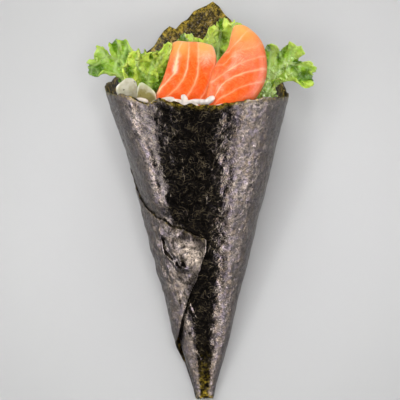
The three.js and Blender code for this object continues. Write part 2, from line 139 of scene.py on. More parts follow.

# The slices of salmon, lofted through stations of (left x, left z, right x, right z, middle y).
# fat_lines: curves of (along, across) that run the slice's way, with their strengths; streaks and
# milk spots: where the lines and the flesh are paler, as (x, z, size, share), some milk spots being
# painted glare; pale_top: from where to where along it a pale highlight is painted on the end;
# pale_by: by how much, at each count of fat lines.
SALMON = {
    "salmon_left": dict(
        bow=1.6,
        stations=[
            (-13.6, 105.8, 2.5, 105.8, -16), (-14.8, 109.8, 4, 109.8, -16), (-11.6, 117, 6.2, 117, -15.2),
            (-9.6, 122.8, 6.8, 122.4, -13), (-8.6, 127, 6.2, 125.6, -9.2), (-8, 126.6, 5.4, 125, -4.8),
            (-7.6, 124, 4.6, 122.8, -2.6),
        ],
        runs_up=True,
        fat_lines=[
            [(109, -16.5), (112.3, -13.7), (114.1, -12.2), (115.9, -10.3), (118.9, -7.5),
             (121.6, -7.1), (124.4, -6.4), (126.8, -6.1), (129.5, -4.8)],
            [(109, -12.5), (111.3, -10.1), (112.8, -7.9), (115.2, -5.7), (117.6, -4.2),
             (120.6, -3.2), (124.3, -2.8), (127.4, -2.5)],
            [(109, -4.6), (110.9, -3.4), (112.1, -2.5), (115.1, -0.8), (118.1, 0.1), (121.8, 0.5),
             (126.7, 0.6)],
            [(109, 0.4), (110.8, 1.5), (111.9, 2.4), (114.1, 3.7), (116.2, 4.4), (118.6, 4.7),
             (121.3, 6)],
        ],
        strengths=[0.65, 0.5, 0.5, 0.45],
        streaks=[(-7, 120.6, 1.7, 1.2), (-6.4, 124, 1.7, 0.8)],
        milk=[(-7.5, 119.6, 0.9, 1.1), (-7.2, 121, 0.9, 1.1), (-6.8, 122.6, 0.9, 0.6), (-6.2, 125, 1, 0.5),
              (3.4, 123.8, 2.6, 0.5), (-0.8, 121.2, 1.6, -0.4)],
        pale_top=(0.4, 0.66), pale_by=[(-1, 0.75), (0.4, 0.9), (1.15, 0.45), (1.85, 0.4), (2.2, 1)],
    ),
    "salmon_right": dict(
        bow=3,
        stations=[
            (2, 105.2, 16.6, 105.2, -23), (2.6, 110.4, 21.2, 111.6, -22.8),
            (4.2, 115.8, 23.4, 116.6, -22.2), (6, 120.4, 23.8, 121.8, -21.2),
            (10.4, 126, 22.8, 127, -18.6), (11.7, 130.4, 20.2, 130.8, -15.8),
            (12.7, 133.7, 16.4, 133.8, -13.8),
        ],
        runs_up=False,
        fat_lines=[
            [(10.9, 125.3), (12.2, 127.2), (14.5, 129.3), (15.9, 131), (17.5, 132.8)],
            [(9, 121), (11.3, 123.4), (13.3, 125.6), (15.7, 126.2), (18.2, 126.5), (20.4, 127),
             (21.5, 128.1)],
            [(5, 115.4), (6.6, 116.5), (9.3, 118.3), (12.1, 120.1), (14.8, 121.4), (18.3, 122.7),
             (21.8, 123.7)],
            [(5.2, 108.5), (6.4, 111.3), (8.1, 114.2), (10.1, 115.8), (12, 116.8), (14.8, 117.9),
             (17.5, 118.6), (20.2, 119.1), (22.4, 119.4)],
            [(5, 107), (7.1, 109.6), (9.4, 110.6), (11.9, 111.9), (14.1, 113.2), (16.8, 114),
             (20.2, 114.8), (22.3, 115.1)],
        ],
        strengths=[0.35, 0.2, 0.3, 0.5, 0.35],
        streaks=[(11.6, 120.1, 2.2, 0.4), (7.4, 112.8, 2.4, 0.5), (14.6, 129.6, 2, 0.4)],
        milk=[(12, 120.2, 1.5, 0.35), (13, 124, 1.7, 0.3), (22.3, 119.4, 0.9, 0.3), (22.5, 115.4, 0.9, 0.2),
              (15.5, 123, 4, 0.3), (16, 127.6, 2.6, 0.1), (7.6, 113.4, 1.4, 0.4), (10, 117, 1.6, 0.3),
              (10.2, 122.2, 1.1, -0.6)],
        pale_top=(0.46, 0.95), pale_by=[(0, 0.9), (4, 1)],
    ),
}
ROUND_ENDS = 12  # each end rounds off over one part in this many
FAT_PITCH = 4.5  # from one fat line to the next, before the first and after the last

# The leaves. foot: its two ends (x, z); y: of the foot; margin: the outline from one side to the
# other; lean: how far back the margin lies; frill: folds and their depth, then curls and theirs;
# curl: how far the margin bends forward; crumple: how deep it puckers; phase: where its folds start;
# waist: (x, z, pull) of the place that its middle is gathered to; rim: where the curls start; veins:
# lines of (x, z); fresh: how yellow it is; last, the hollows: spots of (x, z, size, share) where
# shade is painted in deep green.
LETTUCE = {
    "lettuce_left": dict(
        foot=[(-14.5, 107.5), (-20.5, 112.5)], y=3, lean=3.2,
        margin=[(-16.8, 125), (-19.2, 127.5), (-22.3, 128.4), (-24.2, 130.6), (-27, 131.6),
                (-30.2, 130.4), (-29.2, 126.6), (-31.6, 126), (-32.4, 129), (-34.6, 128.7),
                (-35.2, 125.2), (-37.2, 124.2), (-37.4, 120.6), (-34.8, 119), (-31.4, 120.4),
                (-27.6, 118.4), (-24.6, 115.2)],
        frill=(4.5, 1.5, 12, 0.7), curl=1.8, crumple=0.8, phase=0.1, waist=(-24.5, 122, 1), rim=0.7,
        veins=[[(-19, 112), (-22.5, 117.9), (-24.8, 122), (-25.8, 124.1), (-28.8, 125.1), (-31, 125.8),
                (-33.2, 128.1)],
               [(-25.8, 124.1), (-24.7, 127.2), (-23.6, 128.9)], [(-26.8, 124.1), (-26.3, 129.9)],
               [(-27.5, 124.2), (-28.1, 120.9), (-27.2, 119.4), (-24.9, 117.3)],
               [(-31, 125.8), (-33.5, 123.6), (-36, 122)]],
        fresh=0.2, shaded_hollows=[(-34.6, 121.4, 2.2, 1), (-26.4, 122.8, 1.1, 0.8), (-23.3, 126.1, 1.3, 0.9),
                            (-29.6, 124, 1.2, 0.5), (-20, 122, 1.4, 0.8), (-33, 126, 1.5, 0.5)],
    ),
    "lettuce_front": dict(
        foot=[(-13.5, 108), (-20.5, 108)], y=-9.5, lean=1.4,
        margin=[(-9.4, 112.6), (-8, 116), (-8, 119.6), (-7.9, 122.8), (-8.3, 125),
                (-8.9, 126.9), (-10.2, 128.1), (-12.4, 127.8), (-14.7, 126.3), (-17.1, 126.5),
                (-19.5, 127.4), (-22.3, 126.4), (-23.7, 124.1), (-25.3, 120.7), (-24.7, 116.6)],
        frill=(3.5, 1.3, 13, 0.6), curl=1.5, crumple=2.2, phase=0.35, waist=(-17, 116, 0), rim=0.7,
        veins=[[(-16, 110), (-16.6, 117), (-15, 123)], [(-16.6, 117), (-20, 121), (-20.6, 125)],
               [(-15.8, 120), (-12.6, 123), (-11.4, 126)]],
        fresh=0.9, shaded_hollows=[(-11.4, 117.2, 2, 0.9), (-13.4, 114, 2.2, 0.9), (-18, 116, 1.5, 0.4),
                            (-22.6, 120, 1.4, 0.5)],
    ),
    "lettuce_back": dict(
        foot=[(14, 109.5), (-4, 109.5)], y=19.5, lean=5,
        margin=[(19, 131), (16.8, 133.6), (15.2, 135.3), (13.4, 136.8), (10.6, 137.8), (9.1, 138.6),
                (7.7, 135.4), (6, 136), (4.2, 134.9), (3, 132.6), (3, 130.6), (1.2, 131.9),
                (-1.3, 132.4), (-2.6, 133.6), (-4.7, 132.9), (-6, 131.2), (-7, 128.4)],
        frill=(3.5, 1.3, 13, 0.6), curl=1.4, crumple=1.6, phase=0.0, waist=(5, 120, 0), rim=0.75,
        veins=[[(6, 112), (7, 124), (8.6, 134)], [(7, 124), (3.6, 130)], [(0, 112), (-1, 124), (-3, 131)],
               [(11, 112), (12, 126), (13, 133)]],
        fresh=0.9, shaded_hollows=[(7, 126, 3, 0.6), (1.4, 126, 2, 0.5), (10.4, 131, 1.6, 0.4),
                            (-1.6, 130.4, 1.1, 0.6)],
    ),
    "lettuce_right": dict(
        foot=[(25.5, 112), (18.5, 107.5)], y=2, lean=2.4,
        margin=[(25.8, 113.4), (27.2, 115.6), (31, 116.9), (34.2, 116.4), (35.8, 113.6), (38.8, 112.9),
                (39.9, 116), (39.9, 121.6), (37.4, 121.6), (35, 122.4), (35.6, 124.6), (37.2, 126),
                (34.8, 127.8), (32.6, 129), (30, 127.4), (28.6, 125.6), (27.4, 128), (25, 128.4),
                (23, 126.6), (21.4, 121)],
        frill=(5, 1.5, 13, 0.7), curl=1.8, crumple=0.8, phase=0.6, waist=(30.5, 121.5, 1), rim=0.7,
        veins=[[(22, 109), (24.8, 114.9), (26.8, 118.1), (28.4, 120.3), (31.2, 122.1), (32.1, 124.5),
                (32.7, 127)],
               [(31.2, 122.1), (33.9, 121), (36.4, 120.9), (38, 120.1)],
               [(31.2, 121.4), (31.4, 118.3), (33.9, 118)], [(30.1, 121.6), (28.8, 124.6), (28.2, 126.8)],
               [(24, 113), (25, 121), (25.6, 126)]],
        fresh=0.3, shaded_hollows=[(28.6, 124.6, 1.3, 1), (33.7, 120.2, 1.3, 0.8), (30.2, 120.2, 1.2, 0.5),
                            (36.6, 116.6, 2.4, 1), (38.2, 119.6, 1.2, 0.5), (23.6, 121.6, 1.6, 0.8)],
    ),
    "lettuce_fold": dict(
        foot=[(22.8, 107), (17.5, 107)], y=-8.5, lean=2,
        margin=[(27.2, 110.3), (26.2, 113.2), (26.4, 115.6), (24.2, 116), (22.6, 113.6), (21.6, 110)],
        frill=(2.5, 0.6, 7, 0.2), curl=0.3, crumple=0.5, phase=0.2, waist=(23, 111, 0), rim=0.7,
        veins=[[(21, 108), (24.6, 113.4)]],
        fresh=0.1, shaded_hollows=[(23, 111, 1.2, 0.6)],
    ),
}

# The pale pieces, outlined in the same way; bulge: how far the middle stands forward.
# olive: how dark they are low down; edge: how green their upper edge is.
RIBS = {
    "rib_side": dict(
        foot=[(-25.4, 106.5), (-18.6, 106)], y=-12.8, lean=-0.6, bulge=1, olive=0.5, edge=0,
        margin=[(-27.4, 112.6), (-27.5, 114.7), (-25.3, 116.7), (-24, 117.5), (-22.2, 117.5), (-21, 116.5),
                (-20.4, 115), (-19.7, 111.6)],
    ),
    "rib_front": dict(
        foot=[(-20, 105.6), (-13.8, 105)], y=-18.8, lean=0.6, bulge=0.7, olive=3.6, edge=0.5,
        margin=[(-20.6, 111.6), (-20.2, 114.4), (-19, 115.9), (-17.4, 115.2), (-15.4, 113.6), (-14.2, 112.2),
                (-13.9, 110.6)],
    ),
}

# How finely the pieces are cut.
NORI_GRID = (300, 154)
LEAF_GRID = (260, 70)
SLICE_CUTS = 70
RIB_CUTS = 24

# ---------------------------------------------------------------- the camera and lights, in metres

VIEW_WIDTH = 0.1368  # that the camera sees at the cone's axis
AIM_Z = 75.6  # the view's middle, in millimetres up the cone's axis
AXIS_LEAN = math.radians(1.37)  # of the cone in the view, to the left
SENSOR_WIDTH = 36  # in millimetres, as Blender counts it
FLOOR_WIDTH = 16
# As (name, degrees off the view to the right, width, share of the brightness).
SOFTBOXES = [("softbox_left", -84, 0.52, 1.15), ("softbox_right", 79, 0.7, 1.25)]
SOFTBOX_HEIGHT, SOFTBOX_DISTANCE = 1.3, 0.8
OVERHEAD_WIDTH, OVERHEAD_DISTANCE, OVERHEAD_LEAN = 1.1, 1.2, math.radians(9)
BEYOND_SIZE, BEYOND_SHARE = (0.9, 0.6), 4.4  # the light past the mouth, and its share of the fill
KEY_LAMPS, KEY_RING = 6, 0.4  # how many, and how far each is from the overhead light's middle
KEY_SPREAD, KEY_RADIUS = math.radians(13.2), 0.08


# ---------------------------------------------------------------- number tools

def points_of(*parts):
    """Points from an array or a number for each axis."""
    return np.stack(np.broadcast_arrays(*parts), axis=-1)


def lerp(a, b, share):
    return a + (b - a) * share


def bell(distance):
    """1 at no distance, down to 0 past 2."""
    return np.exp(-np.square(distance))


def patch(turn, z, at_turn, at_z, turn_span, z_span):
    """1 in the middle of a patch of the sheet, down to 0 well past its spans."""
    return bell((turn - at_turn) / turn_span) * bell((z - at_z) / z_span)


def smoothstep(value, low, high):
    """0 up to the low value, 1 from the high one on."""
    share = np.clip((value - low) / (high - low), 0, 1)
    return share * share * (3 - 2 * share)


def keyed(keys, at):
    """Linear steps through (place, value) pairs."""
    places, values = np.array(keys, float).T
    return np.interp(at, places, values)


def spline(points, at):
    """A smooth curve through points, for an array of places from 0 to 1."""
    points = np.array(points, float)
    padded = np.vstack([2 * points[0] - points[1], points, 2 * points[-1] - points[-2]])
    spans = len(points) - 1
    place = np.clip(at, 0, 1) * spans
    start = np.minimum(place.astype(int), spans - 1)
    t = (place - start)[:, None]
    a, b, c, d = (padded[start + k] for k in range(4))
    return 0.5 * (
        2 * b + (c - a) * t + (2 * a - 5 * b + 4 * c - d) * t**2 + (3 * b - a - 3 * c + d) * t**3
    )


def even_spline(points, at):
    """The same, with its places spaced evenly along the curve's length."""
    steps = np.linspace(0, 1, 40 * len(points))
    curve = spline(points, steps)
    run = np.concatenate([[0], np.cumsum(np.linalg.norm(np.diff(curve, axis=0), axis=1))])
    return spline(points, np.interp(at, run / run[-1], steps))


def rough(points, size, seed=0.0):
    """Smooth noise from about -1 to 1 at each point, for lumps of a size."""
    shift = Vector((seed * 7.31, seed * 3.17, seed * 5.77))
    return np.array([noise.noise(Vector(p) / size + shift) for p in points])


def ridges(points, size, seed=0.0):
    """Thin raised lines, from 0 to 1, round patches of a size."""
    return (1 - np.clip(np.abs(rough(points, size, seed)) * 2.4, 0, 1)) ** 2


def line_distance(places, line):
    """How far each (n, 2) place is from a line of points."""
    line = np.array(line, float)
    nearest = np.full(len(places), 1e9)
    for start, end in zip(line[:-1], line[1:]):
        way = end - start
        share = np.clip((places - start) @ way / (way @ way), 0, 1)
        gap = places - start - share[:, None] * way
        nearest = np.minimum(nearest, np.hypot(gap[:, 0], gap[:, 1]))
    return nearest


def spotted(points, spots):
    """The sum of round spots of (x, z, size, share), at each point."""
    return sum(
        share * bell(np.hypot(points[:, 0] - x, points[:, 2] - z) / size) for x, z, size, share in spots
    )


# ---------------------------------------------------------------- the cone's skin

def layer_off(turn):
    """How far the sheet's middle is from the ideal cone: a little nearer with every turn."""
    return LAYER_PITCH * (1 - turn / 360) + SKIN_OFFSET


def back_turn(turn):
    """The turn of the back line nearest to a turn."""
    return 180 + 360 * np.round((turn - 180) / 360)


def cone_skin(turn, z, off, flat_off=None):
    """Points at turns and heights, off the ideal cone, pressed flat at the back."""
    angle = np.radians(-turn)
    hollow = HOLLOW_DEPTH * bell((z - HOLLOW_Z) / HOLLOW_SPAN) * np.maximum(0, -np.sin(angle)) ** 3
    radius = z * math.tan(HALF_ANGLE) + off - hollow
    x, y = radius * np.sin(angle), -radius * np.cos(angle)
    above = z * SINE - y * COSINE
    push = np.maximum(0, REST_DEPTH - (off if flat_off is None else flat_off) - above)
    return points_of(x, y - push * COSINE, z + push * SINE)


def tipped(points):
    """Upright points, turned so that the cone's back line is level."""
    turn = HALF_ANGLE - math.pi / 2
    x, y, z = np.array(points, float).T
    return points_of(x, y * math.cos(turn) - z * math.sin(turn), y * math.sin(turn) + z * math.cos(turn))


REST_POINT = tipped(cone_skin(180, REST_POINT_Z, layer_off(180)))
LIFT = np.array([0, -REST_POINT[1], SOLID_SHEET / 2 - REST_POINT[2]])


def lay_down(points):
    """Upright millimetres to metres in the part's own frame."""
    return (tipped(points) + LIFT) * MM


def tipped_way(x, y, z):
    """An upright direction in the part's own frame."""
    return Vector(tipped((x, y, z)))


# ---------------------------------------------------------------- mesh tools

def places_of(mesh):
    """The places of a mesh's vertices."""
    places = np.empty(len(mesh.vertices) * 3)
    mesh.vertices.foreach_get("co", places)
    return places.reshape(-1, 3)


def place_at(mesh, places):
    """Moves a mesh's vertices to their places."""
    mesh.vertices.foreach_set("co", np.asarray(places, float).ravel())
    mesh.update()


def mesh_from(bm, name):
    """A finished mesh from a bmesh, which is freed."""
    mesh = bpy.data.meshes.new(name)
    bm.to_mesh(mesh)
    bm.free()
    return mesh


def grid_mesh(name, columns, rows):
    """A flat grid, and how far across and up it each vertex is, from 0 to 1."""
    bm = bmesh.new()
    bmesh.ops.create_grid(bm, x_segments=columns, y_segments=rows, size=0.5)
    mesh = mesh_from(bm, name)
    flat = places_of(mesh)
    flat = (flat - flat.min(axis=0)) / np.maximum(np.ptp(flat, axis=0), 1e-9)
    return mesh, flat[:, 0], flat[:, 1]


def block_mesh(name, cuts):
    """A finely cut cube, and its vertices from -1 to 1."""
    bm = bmesh.new()
    bmesh.ops.create_cube(bm, size=2)
    bmesh.ops.subdivide_edges(bm, edges=bm.edges[:], cuts=cuts, use_grid_fill=True)
    mesh = mesh_from(bm, name)
    return mesh, places_of(mesh)


def slab_section(cube, power=4):
    """A cube's vertices as places on a rounded slab: (across, through) from -1 to 1."""
    x, y = cube[:, 0], cube[:, 1]
    reach = np.maximum(np.maximum(np.abs(x), np.abs(y)), 1e-9)
    round_off = ((np.abs(x) / reach) ** power + (np.abs(y) / reach) ** power) ** (-1 / power)
    return x * round_off, y * round_off, reach


def add_piece(mesh, node, slot, *materials, thickness=None, maps=(), values=()):
    """A finished piece that stands for a node, with its UV maps and its values for each vertex."""
    corners = np.empty(len(mesh.loops), int)
    mesh.loops.foreach_get("vertex_index", corners)
    for name, places in dict(maps).items():
        mesh.uv_layers.new(name=name).data.foreach_set("uv", places[corners].ravel())
    for name, numbers in dict(values).items():
        mesh.attributes.new(name, "FLOAT", "POINT").data.foreach_set("value", np.asarray(numbers, float))
    for material in materials:
        mesh.materials.append(material)
    mesh.polygons.foreach_set("use_smooth", np.ones(len(mesh.polygons), bool))
    piece = bpy.data.objects.new(mesh.name, mesh)
    bpy.context.scene.collection.objects.link(piece)
    if thickness:
        wall = piece.modifiers.new("thickness", "SOLIDIFY")
        wall.thickness, wall.offset = thickness, 0
        wall.material_offset = wall.material_offset_rim = len(materials) - 1
    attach(piece, "root")
    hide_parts(node)


# ---------------------------------------------------------------- material tools

class Finish:
    """A principled material whose nodes are added one by one."""

    def __init__(self, name, **sockets):
        self.material = bpy.data.materials.new(name)
        self.material.use_nodes = True
        self.tree = self.material.node_tree
        self.apply(**sockets)

    def apply(self, **sockets):
        """Sets or links the shader's sockets, and gives the material."""
        shader = self.tree.nodes["Principled BSDF"]
        for socket, value in sockets.items():
            self.feed(shader.inputs[socket.replace("_", " ")], value)
        return self.material

    def feed(self, socket, value):
        """Links an output to a socket, or sets the socket to a plain value."""
        if isinstance(value, bpy.types.NodeSocket):
            self.tree.links.new(value, socket)
        else:
            socket.default_value = value

    def add(self, kind, *values, **settings):
        """A node with its settings, whose first inputs take the values."""
        made = self.tree.nodes.new("ShaderNode" + kind)
        for key, value in settings.items():
            setattr(made, key, value)
        for socket, value in zip(made.inputs, values):
            self.feed(socket, value)
        return made

    def map(self, name):
        """The place on one of the piece's UV maps."""
        return self.add("UVMap", uv_map=name).outputs["UV"]

    def value(self, name):
        """One of the piece's values for each vertex."""
        return self.add("Attribute", attribute_name=name).outputs["Fac"]

    def object_place(self):
        return self.add("TexCoord").outputs["Object"]

    def scaled(self, place, size, stretch=(1, 1, 1)):
        """A place, counted in a size."""
        mapping = self.add("Mapping", place)
        mapping.inputs["Scale"].default_value = [1 / size / s for s in stretch]
        return mapping.outputs["Vector"]

    def texture(self, kind, place, inputs=(), **settings):
        """A texture's outputs, at a place that is already scaled."""
        made = self.add("Tex" + kind, place, **settings)
        for key, value in {"Scale": 1.0, **dict(inputs)}.items():
            made.inputs[key].default_value = value
        return made.outputs

    def noise(self, place, size, stretch=(1, 1, 1), detail=3.0, roughness=0.6, distortion=0.0):
        """Noise whose lumps have a size, in the place's own unit."""
        inputs = {"Detail": detail, "Roughness": roughness, "Distortion": distortion}
        return self.texture("Noise", self.scaled(place, size, stretch), inputs)["Fac"]

    def cells(self, place, size):
        """How far a place is from the edge of its patch of a size."""
        return self.texture("Voronoi", self.scaled(place, size), feature="DISTANCE_TO_EDGE")["Distance"]

    def strokes(self, place, size, width):
        """Short bent lines that lie every way, one to a patch of a size, each with its own strength."""
        place = self.scaled(place, size)
        patch = self.texture("Voronoi", place, voronoi_dimensions="2D")
        gap = self.add("VectorMath", place, patch["Position"], operation="SUBTRACT").outputs["Vector"]
        x, y, _ = self.add("SeparateXYZ", gap).outputs
        pick = self.add("SeparateXYZ", patch["Color"]).outputs
        turn = self.times(pick["X"], math.tau)
        cosine, sine = self.math("COSINE", turn), self.math("SINE", turn)
        along = self.plus(self.times(x, cosine), self.times(y, sine))
        off = self.minus(self.times(x, sine), self.times(y, cosine))
        off = self.plus(off, self.times(self.times(along, along), 0.5))
        line = self.ramp(self.math("ABSOLUTE", off), (0.0, 1.0), (width / size / 2, 0.0))
        return self.times(line, self.ramp(pick["Y"], (0.25, 0.0), (0.9, 1.0)))

    def ramp(self, value, *stops):
        """A colour or grey for each value, from (place, colour or grey) stops."""
        made = self.add("ValToRGB", value)
        elements = made.color_ramp.elements
        while len(elements) < len(stops):
            elements.new(1.0)
        for element, (place, colour) in zip(elements, stops):
            element.position = place
            grey = isinstance(colour, (int, float))
            element.color = (colour,) * 3 + (1,) if grey else tuple(colour)[:3] + (1,)
        return made.outputs["Color"]

    def mix(self, share, *colours):
        """The first colour where the share is 0, the second where it is 1."""
        made = self.add("Mix", share, data_type="RGBA")
        for socket, colour in zip((made.inputs[6], made.inputs[7]), colours):
            linked = isinstance(colour, bpy.types.NodeSocket)
            self.feed(socket, colour if linked else tuple(colour)[:3] + (1,))
        return made.outputs[2]

    def math(self, operation, *values, clamp=False):
        return self.add("Math", *values, operation=operation, use_clamp=clamp).outputs[0]

    def times(self, a, b, clamp=False):
        return self.math("MULTIPLY", a, b, clamp=clamp)

    def plus(self, a, b):
        return self.math("ADD", a, b)

    def minus(self, a, b, clamp=False):
        return self.math("SUBTRACT", a, b, clamp=clamp)

    def bump(self, height, distance, strength=1.0, under=None):
        """Relief of a depth in millimetres, on top of what lies under it."""
        made = self.add("Bump", strength)
        made.inputs["Distance"].default_value = distance * MM
        self.feed(made.inputs["Height"], height)
        if under is not None:
            self.feed(made.inputs["Normal"], under)
        return made.outputs["Normal"]


def moist(name, glow, depth, radius, **sockets):
    """A finish that light enters, by a depth in millimetres and a share of it for each colour."""
    return Finish(
        name, Subsurface_Weight=glow, Subsurface_Scale=depth * MM, Subsurface_Radius=radius, **sockets
    )


# ---------------------------------------------------------------- settings

class NoriSettings(bpy.types.PropertyGroup):
    thickness: FloatProperty(
        name="Thickness", description="Of the sheet", default=0.32 * MM, min=0.1 * MM, unit="LENGTH"
    )
    crinkle: FloatProperty(
        name="Crinkle", description="Depth of the wrinkles", default=0.3 * MM, unit="LENGTH"
    )
    colour: FloatVectorProperty(
        name="Colour", description="Of the roasted sheet", subtype="COLOR", default=(0.006, 0.005, 0.0045)
    )
    fibre_colour: FloatVectorProperty(
        name="Fibres", description="Of the pale fibres in it", subtype="COLOR",
        default=(0.09, 0.07, 0.04),
    )
    edge_colour: FloatVectorProperty(
        name="Thin edge", description="Where light comes through", subtype="COLOR",
        default=(0.2, 0.14, 0.012),
    )


class SalmonSettings(bpy.types.PropertyGroup):
    thickness: FloatProperty(
        name="Thickness", description="Of a slice", default=6 * MM, min=2 * MM, unit="LENGTH"
    )
    flesh: FloatVectorProperty(
        name="Flesh", description="Colour between the fat lines", subtype="COLOR",
        default=(0.80, 0.078, 0.0),
    )
    # Also the colour of the painted highlight on the bent-back end and along the edges.
    pale_flesh_and_highlight: FloatVectorProperty(
        name="Pale flesh", description="Colour where a slice bends back", subtype="COLOR",
        default=(0.96, 0.43, 0.115),
    )
    fat: FloatVectorProperty(
        name="Fat", description="Colour of the fat lines", subtype="COLOR", default=(0.95, 0.58, 0.34)
    )


class LettuceSettings(bpy.types.PropertyGroup):
    thickness: FloatProperty(
        name="Thickness", description="Of a leaf", default=0.4 * MM, min=0.1 * MM, unit="LENGTH"
    )
    leaf: FloatVectorProperty(
        name="Leaf", description="Main colour", subtype="COLOR", default=(0.24, 0.46, 0.01)
    )
    # Deep green, painted as shade in the hollows and in random darker patches.
    deep_and_shade: FloatVectorProperty(
        name="Deep", description="Colour in the hollows", subtype="COLOR", default=(0.07, 0.17, 0.0)
    )
    fresh: FloatVectorProperty(
        name="Fresh", description="Yellower colour of the curliest parts", subtype="COLOR",
        default=(0.52, 0.69, 0.075),
    )
    vein: FloatVectorProperty(
        name="Veins", description="Colour of the veins", subtype="COLOR", default=(0.42, 0.60, 0.15)
    )


class RibSettings(bpy.types.PropertyGroup):
    thickness: FloatProperty(
        name="Thickness", description="Of a piece", default=1.3 * MM, min=0.5 * MM, unit="LENGTH"
    )
    pale: FloatVectorProperty(
        name="Pale", description="Main colour", subtype="COLOR", default=(0.58, 0.56, 0.45)
    )
    olive: FloatVectorProperty(
        name="Olive", description="Darker colour low down", subtype="COLOR", default=(0.22, 0.185, 0.055)
    )


class RiceSettings(bpy.types.PropertyGroup):
    grain_length: FloatProperty(
        name="Grain length", description="Of one cooked grain", default=5.6 * MM, unit="LENGTH"
    )
    grain_width: FloatProperty(
        name="Grain width", description="Of one cooked grain", default=2.5 * MM, unit="LENGTH"
    )
    seed: IntProperty(name="Seed", description="Picks another arrangement of grains", default=7)
    colour: FloatVectorProperty(
        name="Colour", description="Of cooked rice", subtype="COLOR", default=(0.76, 0.67, 0.60)
    )


class StageSettings(bpy.types.PropertyGroup):
    distance: FloatProperty(
        name="Camera distance", description="From the roll", default=2.0, min=0.5, unit="LENGTH"
    )
    floor: FloatVectorProperty(
        name="Floor", description="Colour of the floor", subtype="COLOR", default=(0.54, 0.54, 0.54)
    )
    softbox: FloatProperty(
        name="Softboxes", description="Brightness of the two side lights", default=12.6, min=0
    )
    key: FloatProperty(name="Key light", description="Its power", default=50.0, min=0, unit="POWER")
    fill: FloatProperty(
        name="Overhead light", description="Brightness of the wide light above", default=0.85, min=0
    )
    sky: FloatProperty(
        name="Room", description="Brightness of the light from all round", default=0.38, min=0
    )


# ---------------------------------------------------------------- nori

def on_front(turn, z, wander=0):
    """The cone's front laid flat, in millimetres."""
    return points_of(np.radians(turn) * FRONT_RADIUS + wander, z)


def near_line(flat, line, half):
    """1 on a line of (turn, z) on the front, down to 0 some way from it."""
    turn, z = np.array(line, float).T
    return bell(line_distance(flat, on_front(turn, z)) / half)


def nori_relief(ideal, flat, front, z, rings, on_flap, crinkle):
    """How far the wrinkles, the flap's folds and the creases stand off the sheet."""
    wrinkles = ((1.1, 17, 5), (0.75, 7, 6), (0.5, 3, 7), (0.3, 1.6, 8))
    relief = sum(height * rough(ideal, size, seed) for height, size, seed in wrinkles)
    relief = crinkle * (relief + 0.35 * ridges(ideal, 6, 9) + 0.3 * ridges(ideal, 2.8, 10))
    folds = 0.45 * rough(ideal, 3.5, 27) + 0.35 * ridges(ideal, 5, 28)
    folds *= 1 + 0.9 * patch(front, z, 14, 54, 18, 7)
    folds += 0.2 * np.cos(2.5 * rings) * bell(rings / 4.8)
    relief += np.where(on_flap, folds * smoothstep(z, 40, 50), 0)
    for line, half, height, flap_only in CREASES:
        relief += np.where(on_flap | (not flap_only), height * near_line(flat, line, half), 0)
    return relief


def nori_thin(ideal, column, turn, z, on_flap):
    """Where light comes through: along the rim, on the peak and at the tip, from 0 to 1."""
    rim = 0.45 + 0.35 * bell((column - 352) / 12) + 0.3 * bell((column - 415) / 25)
    rim = np.where(on_flap, 0.1, rim)
    at_peak = smoothstep(column, 480, 515)
    width = lerp(0.9, 2.4, at_peak) * (1 + 0.5 * rough(ideal, 5, 29))
    top_gap, tip_gap = keyed(SHEET_TOP, column) - z, z - TIP_Z
    thin = np.maximum(rim, at_peak) * bell(top_gap / width) + 0.7 * bell(tip_gap / 1.2)
    peak = smoothstep(z, 112, 140) * smoothstep(column, 470, 520)
    tip = 0.65 * bell(tip_gap / 9) * bell(np.minimum((turn + 358) % 360, (-turn) % 360) / 26)
    return np.clip(thin + 0.3 * peak + tip, 0, 1)


def nori_satin_sheen_and_shade(ideal, flat, front, z, rings, on_flap):
    """The kind of gloss: 0 dark and smooth, 1 softly rough; above 1 where a pale sheen is painted, below 0
    where shade is painted into the reflection.
    """
    stray = front + 5 * rough(ideal, 9, 25)
    bend = 9 * smoothstep(z, 78, 100) - 14 * (1 - smoothstep(z, 28, 48))
    satin = smoothstep(stray - bend, 30, 42) + smoothstep(-stray, 20, 30)
    # Painted shade: a patch on the upper front whose reflection is dimmed.
    dimmed = smoothstep(front, 12, 20) * (1 - smoothstep(stray - bend, 30, 39)) * smoothstep(z, 58, 66)
    satin -= 0.85 * dimmed * np.clip(0.8 + 0.7 * rough(ideal, 2.5, 32), 0, 1)
    # Painted highlights: patches of pale sheen on the flap, broken up by its rings.
    slanted = z - 0.12 * (front - 13)
    painted_sheen = patch(front, slanted, 12, 57, 14, 3.8) + 0.5 * patch(front, z, 30, 46.5, 9, 3.5)
    painted_sheen *= np.clip(0.7 + 0.5 * np.cos(2.6 * rings) + 1.1 * rough(ideal, 2, 30), 0, 1)
    # Painted shade along a fold on the flap, which dims its reflection.
    shaded = near_line(flat, FLAP_SHADE, 1.7)
    flap = (np.maximum(satin, smoothstep(z, 34, 44)) + painted_sheen) * (1 - shaded) - 0.7 * shaded
    # A rougher patch on the layer under the flap; where the value goes above 1 a pale sheen is painted.
    below = 0.9 * patch(front, z, 26, 31, 8, 6) * np.clip(0.4 + 1.6 * rough(ideal, 1.5, 34), 0, 1)
    return np.where(on_flap, flap, satin + below)


